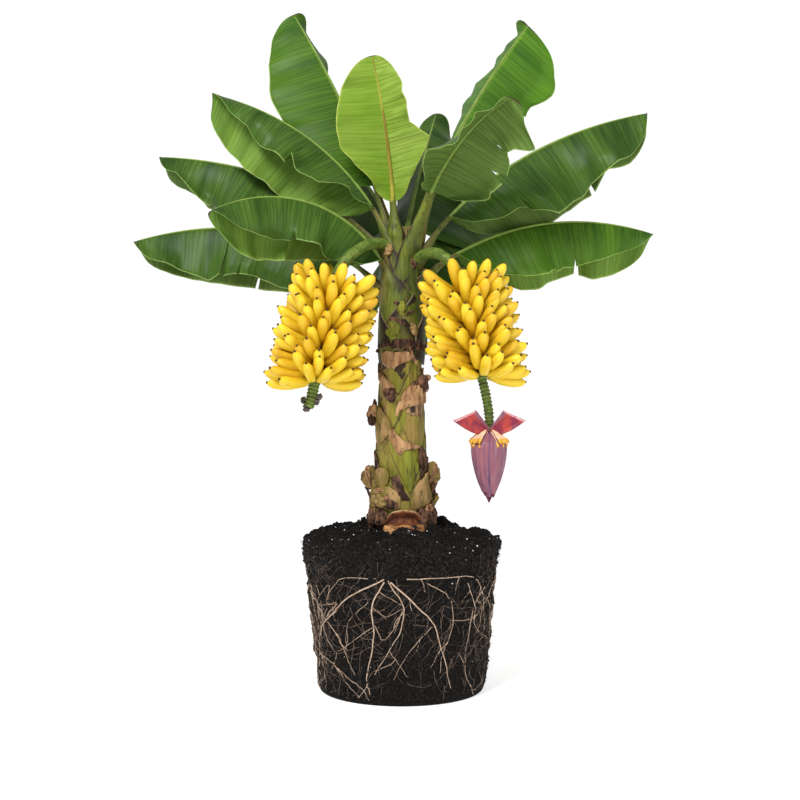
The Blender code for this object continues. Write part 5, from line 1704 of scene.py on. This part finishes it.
@dataclass
class Bunch:
    """One bunch of fruit on its stalk."""

    name: str
    arch: Coil
    top: Triple
    bottom: Triple
    tail: Coil
    tail_radius: float
    turn: float
    gap: float
    inward: float = 0.0  # azimuth of the stem as seen from the bunch
    remains: tuple[Lump, ...] = ()

    TIERS = 6
    FINGERS = 11
    STALK = 0.0175
    FIRST_TIER = 0.12
    LAST_TIER = 0.9
    TOP_LIFT = 50.0
    BOTTOM_LIFT = -2.0
    FINGER_LENGTH = 0.142
    FINGER_RADIUS = 0.0172
    FINGER_BEND = 38.0
    RING_STEP = 0.0115  # from one scar of the bare stalk to the next

    @staticmethod
    def jitter(*seeds: float) -> float:
        """Steady value from -1 to 1 for a set of numbers."""
        return math.sin(12.9898 * seeds[0] + 78.233 * seeds[1] + 37.719 * seeds[2]) * 43758.5453 % 2.0 - 1.0

    @classmethod
    def finger(cls) -> Solid:
        """One fruit along +X, bent upward, with five soft ridges and a blunt dry tip."""
        along = np.array([0.0, 0.06, 0.14, 0.26, 0.42, 0.58, 0.72, 0.83, 0.905, 0.948, 0.966, 0.972, 1.0])
        girth = np.array([0.3, 0.36, 0.58, 0.87, 0.99, 1.0, 0.99, 0.91, 0.7, 0.42, 0.27, 0.26, 0.2])
        fine = np.linspace(0, 1, 97)
        rise = np.radians(cls.FINGER_BEND * (fine - 0.5))
        step = cls.FINGER_LENGTH / 96
        x = np.concatenate([[0], np.cumsum(np.cos(rise[:-1])) * step])
        z = np.concatenate([[0], np.cumsum(np.sin(rise[:-1])) * step])
        angle = np.linspace(0, 2 * math.pi, 10, endpoint=False)
        body = ((along > 0.1) & (along < 0.95))[:, None]
        radii = cls.FINGER_RADIUS * girth[:, None] * np.where(body, 1 + 0.055 * np.cos(5 * angle), 1.0)
        spine = np.stack([np.interp(along, fine, x), 0 * along, np.interp(along, fine, z)], axis=-1)
        lift = np.radians(cls.FINGER_BEND * (along - 0.5))
        ups = np.stack([-np.sin(lift), 0 * lift, np.cos(lift)], axis=-1)
        return bent_piece("finger", spine, ups, radii, np.where(along > 0.97, 1.0, 0.0))

    def lay(self, tier: int) -> tuple[Array, Array, Array, Array]:
        """Places, turns, sizes and deals of a tier's fruit."""
        part = tier / (self.TIERS - 1)
        top, bottom = np.array(self.top), np.array(self.bottom)
        places, turns, sizes, deals = [], [], [], []
        for row in (0, 1):
            for k in range(self.FINGERS):
                step = 360 * (k + 0.5 * (tier % 2)) / self.FINGERS
                azimuth = self.turn + step + 3 * self.jitter(tier, k, self.turn)
                lift = mix(self.TOP_LIFT, self.BOTTOM_LIFT, part) + 3 * self.jitter(k, tier, 2)
                lift += 4 if k % 2 else -4
                inner = math.cos(math.radians(azimuth - self.inward)) * (1 - part)
                lift -= 22 * max(0.0, inner) + 4 * (1 - part)
                lift += abs(math.sin(math.radians(azimuth))) * (4 + 26 * part)
                down = mix(self.FIRST_TIER, self.LAST_TIER, part)
                size = 1 + 0.05 * self.jitter(tier, 5, k) + 0.12 * max(0.0, inner)
                if row:
                    azimuth += 180 / self.FINGERS
                    down += 0.055
                    lift -= 7
                    size *= 0.94
                if not tier and abs(turn_between(azimuth, self.gap)) < 40:
                    continue
                place = top + (bottom - top) * down + outward(azimuth) * (self.STALK * 0.9)
                places.append(place)
                twist = math.radians(7 * self.jitter(k, 3, tier))
                turns.append((twist, -math.radians(lift), math.radians(azimuth)))
                sizes.append(size)
                deals.append(1.0 if self.jitter(tier, k, 7 + row) > 0.35 else 0.0)
        return np.array(places), np.array(turns), np.array(sizes), np.array(deals)

    def build(self, finger: Solid, tree: Tree) -> None:
        """Builds the tiers and the stalk."""
        for tier in range(self.TIERS):
            node = "tier_%s_%d" % (self.name, tier + 1)
            piece = spots("fruit_%s_%d" % (self.name, tier + 1), *self.lay(tier))
            grow(
                piece, tree, piece=finger,
                first=dress(Finish.PEEL), second=dress(Finish.DEEP_PEEL), end=dress(Finish.STUB),
            )
            piece.data.shade_smooth()
            deliver(piece, "fruit", node)
        arch = smooth_curve([*self.arch, self.top], 8)
        run = np.linspace(self.top, self.bottom, 24)[1:]
        tail = smooth_curve([self.bottom, *self.tail], 14)[1:]
        path = np.vstack([arch, run, tail])
        radii = np.concatenate(
            [np.full(len(arch) + len(run), self.STALK), np.full(len(tail), self.tail_radius)]
        )
        run_on = np.concatenate([[0], np.cumsum(np.linalg.norm(np.diff(path, axis=0), axis=1))])
        fine = np.linspace(0, run_on[-1], int(run_on[-1] / 0.0018))
        path = np.stack([np.interp(fine, run_on, path[:, k]) for k in range(3)], axis=-1)
        radii = np.interp(fine, run_on, radii) * (1 + 0.05 * grain(path, 0.02, 3))
        bare = ramp((fine - run_on[len(arch) + len(run) - 1] + 0.02) / 0.02)
        ring = np.exp(-(((fine % self.RING_STEP) / self.RING_STEP - 0.5) / 0.14) ** 2) * bare
        radii = radii + 0.0026 * ring - 0.0016 * bare * ((fine % self.RING_STEP) < 0.002)
        skin = Skin()
        rings = tube_rings(path, radii, 20)
        rough = (grains(rings, 0.01, 5) * 0.0012 * ring[:, None])[..., None]
        rings = rings + rough * (rings - path[:, None]) / 0.015
        ends = [path[k] + (rings[k] - path[k]) * 0.04 for k in (0, -1)]
        rings = np.concatenate([ends[0][None], rings, ends[1][None]])
        cuts = [0, *(np.nonzero(np.diff((ring > 0.6).astype(int)))[0] + 1), len(rings) - 1]
        for n, (start, stop) in enumerate(zip(cuts, cuts[1:])):
            skin.grid(rings[start : stop + 1], closed=True, kind=n % 2)
        stalk = skin.build("stalk_" + self.name, Finish.STALK, Finish.SCAR, weld=2e-5)
        if self.remains:
            skin = Skin()
            for lump in self.remains:
                skin.grid(lump.points(), closed=True, caps=True)
            joined(stalk, skin.build("remains", Finish.REMAINS))
        deliver(stalk, "stalk", "fruit_stalk_" + self.name)


@dataclass
class Fruit:
    """Both bunches."""

    bunches: tuple[Bunch, ...] = (
        Bunch(
            "left",
            ((-0.01, 0.0, 1.372), (-0.058, -0.03, 1.412), (-0.115, -0.1, 1.398), (-0.175, -0.152, 1.345)),
            (-0.212, -0.17, 1.27),
            (-0.268, -0.17, 0.965),
            ((-0.276, -0.17, 0.925), (-0.286, -0.172, 0.895)),
            0.016,
            0.0,
            28.0,
            0.0,
            made_of(
                Lump.drawn,
                (211.1, 900, 262, 26, 22, 26, Finish.REMAINS),
                (213.0, 913, 240, 20, 22, 18, Finish.REMAINS),
                (214.5, 928, 234, 16, 20, 16, Finish.REMAINS),
                (209.0, 917, 272, 16, 20, 18, Finish.REMAINS),
                (211.5, 888, 268, 22, 12, 20, Finish.REMAINS),
            ),
        ),
        Bunch(
            "right",
            ((0.02, 0.0, 1.335), (0.062, -0.052, 1.372), (0.108, -0.115, 1.374), (0.156, -0.156, 1.335)),
            (0.19, -0.17, 1.275),
            (0.246, -0.17, 0.985),
            ((0.259, -0.17, 0.93), (0.268, -0.17, 0.87), (0.268, -0.17, 0.8214)),
            0.0135,
            14.0,
            152.0,
            180.0,
        ),
    )

    def build(self) -> None:
        """Builds the bunches from one fruit."""
        finger, tree = Bunch.finger(), planted_tree()
        for bunch in self.bunches:
            bunch.build(finger, tree)
        bpy.data.objects.remove(finger)


# ---- flower
@dataclass
class Flower:
    """The hanging flower: closed bracts, two lifted ones and rows of small flowers."""

    top: Triple = (0.268, -0.17, 0.821)
    profile: tuple[tuple[float, float], ...] = (  # depth and radius
        (0.0, 0.014), (0.022, 0.04), (0.045, 0.0525), (0.095, 0.0475),
        (0.146, 0.0336), (0.179, 0.0205), (0.202, 0.0105), (0.2195, 0.002),
    )

    def girth(self, depth: Array) -> Array:
        """Radius of the closed flower at a depth below its top."""
        fine = smooth_curve([(d, r, 0.0) for d, r in self.profile], 8)
        return np.interp(depth, fine[:, 0], fine[:, 1])

    def bud(self) -> None:
        """The closed bracts, each lapped over the next."""
        skin = Skin()
        a, d = np.meshgrid(np.linspace(0, 360, 40, endpoint=False), np.linspace(0.0, 0.2195, 60))
        core = around(a, self.girth(d) - 0.002, -d)
        skin.grid(core[::-1] + np.array(self.top), closed=True, caps=True, kind=2)
        bracts = (
            (262, 0.212, 0.0016, 1), (90, 0.2, 0.0016, 0), (222, 0.196, 0.0034, 0), (318, 0.202, 0.0042, 0),
            (30, 0.19, 0.0034, 0), (150, 0.186, 0.004, 0),
        )
        for n, (middle, tip, lift, kind) in enumerate(bracts):
            t, q = np.meshgrid(np.linspace(0, 1, 50), np.linspace(-1, 1, 26), indexing="ij")
            down = 0.003 + (tip - 0.003) * t
            span = 46 * np.sqrt(np.clip(1 - np.clip((t - 0.62) / 0.38, 0, 1) ** 2.4, 0, 1)) + 1.0
            turn = middle + span * q + 3 * np.sin(5 * t + n)
            radius = self.girth(down) + lift * (0.4 + 0.6 * t) + 0.001 * np.sin(q * 16 + n) * np.sin(3 * t)
            radius = radius - 0.0012 * np.abs(q) ** 4 + 0.0015 * ramp((t - 0.93) / 0.07) * (n > 1)
            sheet = around(turn, radius, -down)
            for rows, finish in ((slice(0, 47), kind), (slice(46, 50), 2)):
                skin.grid(sheet[rows] + np.array(self.top), kind=finish)
        finishes = Finish.BRACT, Finish.BRACT_DARK, Finish.BRACT_TIP
        piece = skin.build("flower_bracts", *finishes, weld=1e-5)
        deliver(piece, "bract", "flower_bud")

    def lifted(self, side: str, way: float) -> None:
        """A lifted bract: its red inside to the front, its outer end rolled back."""
        along = unit(np.array((way * math.cos(math.radians(36)), -0.22, math.sin(math.radians(36)))))
        normal = unit(np.array((0.0, -1.0, -0.25)) - along * float(np.dot(along, (0.0, -1.0, -0.25))))
        across = np.cross(normal, along)
        t, v = np.meshgrid(np.linspace(0, 1, 44), np.linspace(-1, 1, 36), indexing="ij")
        half = np.interp(t, [0.0, 0.2, 0.55, 0.9, 1.0], [0.012, 0.021, 0.029, 0.0335, 0.031])
        bend = 0.013 * v**2 * np.sin(math.pi * np.clip(t * 1.1, 0, 1)) + 0.0012 * np.sin(v * 13) * t
        back = np.clip((t - 0.86) / 0.14, 0, 1)
        reach = 0.086 * np.minimum(t, 0.86) / 0.93 + 0.01 * np.sin(back * math.pi * 0.9)
        reach = reach * (1 - 0.2 * way * v * ramp(t))
        rolled = 0.012 * (1 - np.cos(back * math.pi * 0.9)) / 2
        out = bend - rolled - 0.008 * ramp((np.abs(v) - 0.85) / 0.15) * ramp(t * 3)
        foot = np.array(self.top) + np.array((way * 0.006, -0.012, -0.004))
        place = foot + along * reach[..., None] + across * (half * v)[..., None] + normal * out[..., None]
        skin = Skin()
        upper, lower = (slice(29, 36), slice(0, 30)) if way > 0 else (slice(0, 7), slice(6, 36))
        for rows, columns, kind in (
            (slice(0, 39), lower, 0), (slice(0, 39), upper, 2), (slice(38, 44), slice(0, 36), 1),
        ):
            skin.grid(place[rows, columns][:, ::-1], kind=kind)
        finishes = Finish.BRACT_INSIDE, Finish.BRACT_RIM, Finish.BRACT, Finish.BRACT_RIM
        name = "lifted_bract_" + side
        piece = skin.build(name, *finishes, weld=1e-5, thickness=0.0022, under=2, rim=1)
        deliver(piece, "bract", "bract_" + side)

    def small_flowers(self, tree: Tree) -> None:
        """Two fans of thin flowers that hang over the shoulders."""
        along = np.array([0.0, 0.2, 0.5, 0.8, 0.84, 1.0])
        girth = np.array([0.45, 0.7, 0.95, 1.0, 1.25, 0.8])
        angle = np.linspace(0, 2 * math.pi, 7, endpoint=False)
        lobes = np.where((along > 0.9)[:, None], 1 + 0.25 * np.cos(3 * angle + 0.5), 1.0)
        spine = np.stack([0.065 * along, 0 * along, -0.011 * along * along], axis=-1)
        ups = np.tile((0.0, 0.0, 1.0), (6, 1))
        radii = 0.0042 * girth[:, None] * lobes
        floret = bent_piece("floret", spine, ups, radii, np.where(along > 0.79, 1.0, 0.0))
        places, turns = [], []
        for middle in (214, 326, 90, 30, 150):
            for row, count in ((0, 6), (1, 5)):
                for k in range(count):
                    azimuth = middle + (k - (count - 1) / 2) * 12 + 2 * Bunch.jitter(k, row, middle)
                    rise = np.array((0, 0, 0.002 + 0.007 * row))
                    places.append(np.array(self.top) + outward(azimuth) * 0.01 + rise)
                    droop = math.radians(38 - 9 * row + 3 * Bunch.jitter(row, k, 5))
                    turns.append((0.0, droop, math.radians(azimuth)))
        count = len(places)
        piece = spots("small_flowers", np.array(places), np.array(turns), np.ones(count), np.zeros(count))
        finish = dress(Finish.FLOWER)
        grow(piece, tree, piece=floret, first=finish, second=finish, end=dress(Finish.FLOWER_TIP))
        piece.data.shade_smooth()
        bpy.data.objects.remove(floret)
        deliver(piece, "male_flower", "male_flowers")

    def build(self) -> None:
        """Builds the whole flower."""
        self.bud()
        self.lifted("left", -1.0)
        self.lifted("right", 1.0)
        self.small_flowers(planted_tree())


# ---- studio
@dataclass
class Studio:
    """White floor, soft light and the camera."""

    eye: Triple = (-0.0048, -4.0, 0.918)
    lens: float = 56.25
    sensor: float = 36.0
    room: float = 0.56  # strength of the light from all round

    def camera(self) -> None:
        """Level camera that looks along +Y."""
        data = bpy.data.cameras.new("camera")
        data.lens, data.sensor_width = self.lens, self.sensor
        camera = placed("camera", data)
        camera.location = self.eye
        camera.rotation_euler = (math.radians(90), 0, 0)
        bpy.context.scene.camera = camera

    def floor(self) -> None:
        """Large pale floor."""
        x, y = np.meshgrid(np.linspace(-14, 14, 5), np.linspace(-14, 14, 5), indexing="xy")
        skin = Skin().grid(np.stack([x, y, x * 0 - 0.001], axis=-1))
        nodes = dress(Finish.FLOOR).node_tree.nodes
        shader = next(n for n in nodes if n.type == "BSDF_PRINCIPLED")
        shader.inputs["Emission Color"].default_value = (1, 1, 1, 1)
        shader.inputs["Emission Strength"].default_value = 0.53
        skin.build("floor", Finish.FLOOR)

    def light(
        self, name: str, place: Sequence[float], aim: Sequence[float], size: float, power: float,
    ) -> None:
        """Square soft light that faces a point."""
        data = bpy.data.lights.new(name, "AREA")
        data.size, data.energy = size, power
        lamp = placed(name, data)
        lamp.location = place
        lamp.rotation_euler = (Vector(aim) - Vector(place)).to_track_quat("-Z", "Y").to_euler()

    def build(self) -> None:
        """Sets up everything that isn't the plant."""
        self.camera()
        self.floor()
        world = bpy.data.worlds.new("white room")
        world.use_nodes = True
        tree = world.node_tree
        tree.nodes.clear()
        seen = wire(tree, "ShaderNodeLightPath").outputs["Is Camera Ray"]
        soft = wire(tree, "ShaderNodeBackground", {"Color": (1, 1, 1, 1), "Strength": self.room})
        white = wire(tree, "ShaderNodeBackground", {"Color": (1, 1, 1, 1), "Strength": 1.05})
        both = wire(tree, "ShaderNodeMixShader", {0: seen, 1: soft.outputs[0], 2: white.outputs[0]})
        wire(tree, "ShaderNodeOutputWorld", {"Surface": both.outputs[0]})
        bpy.context.scene.world = world
        self.light("key", (-1.4, -2.8, 3.9), (0, 0, 1.2), 1.5, 175)
        self.light("fill", (2.8, -2.6, 1.4), (0, 0, 1.1), 2.4, 38)
        settings = bpy.context.scene.view_settings
        settings.view_transform = "Standard"
        settings.look = "None"


def main() -> None:
    """Builds the plant from the root ball upward, then the studio."""
    logging.basicConfig(level=logging.INFO, format="%(name)s %(message)s")
    for part in (RootBall(), Stem(), OldSheaths(), Crown(), Fruit(), Flower(), Studio()):
        LOG.info("building %s", type(part).__name__)
        part.build()


if __name__ == "__main__":
    main()
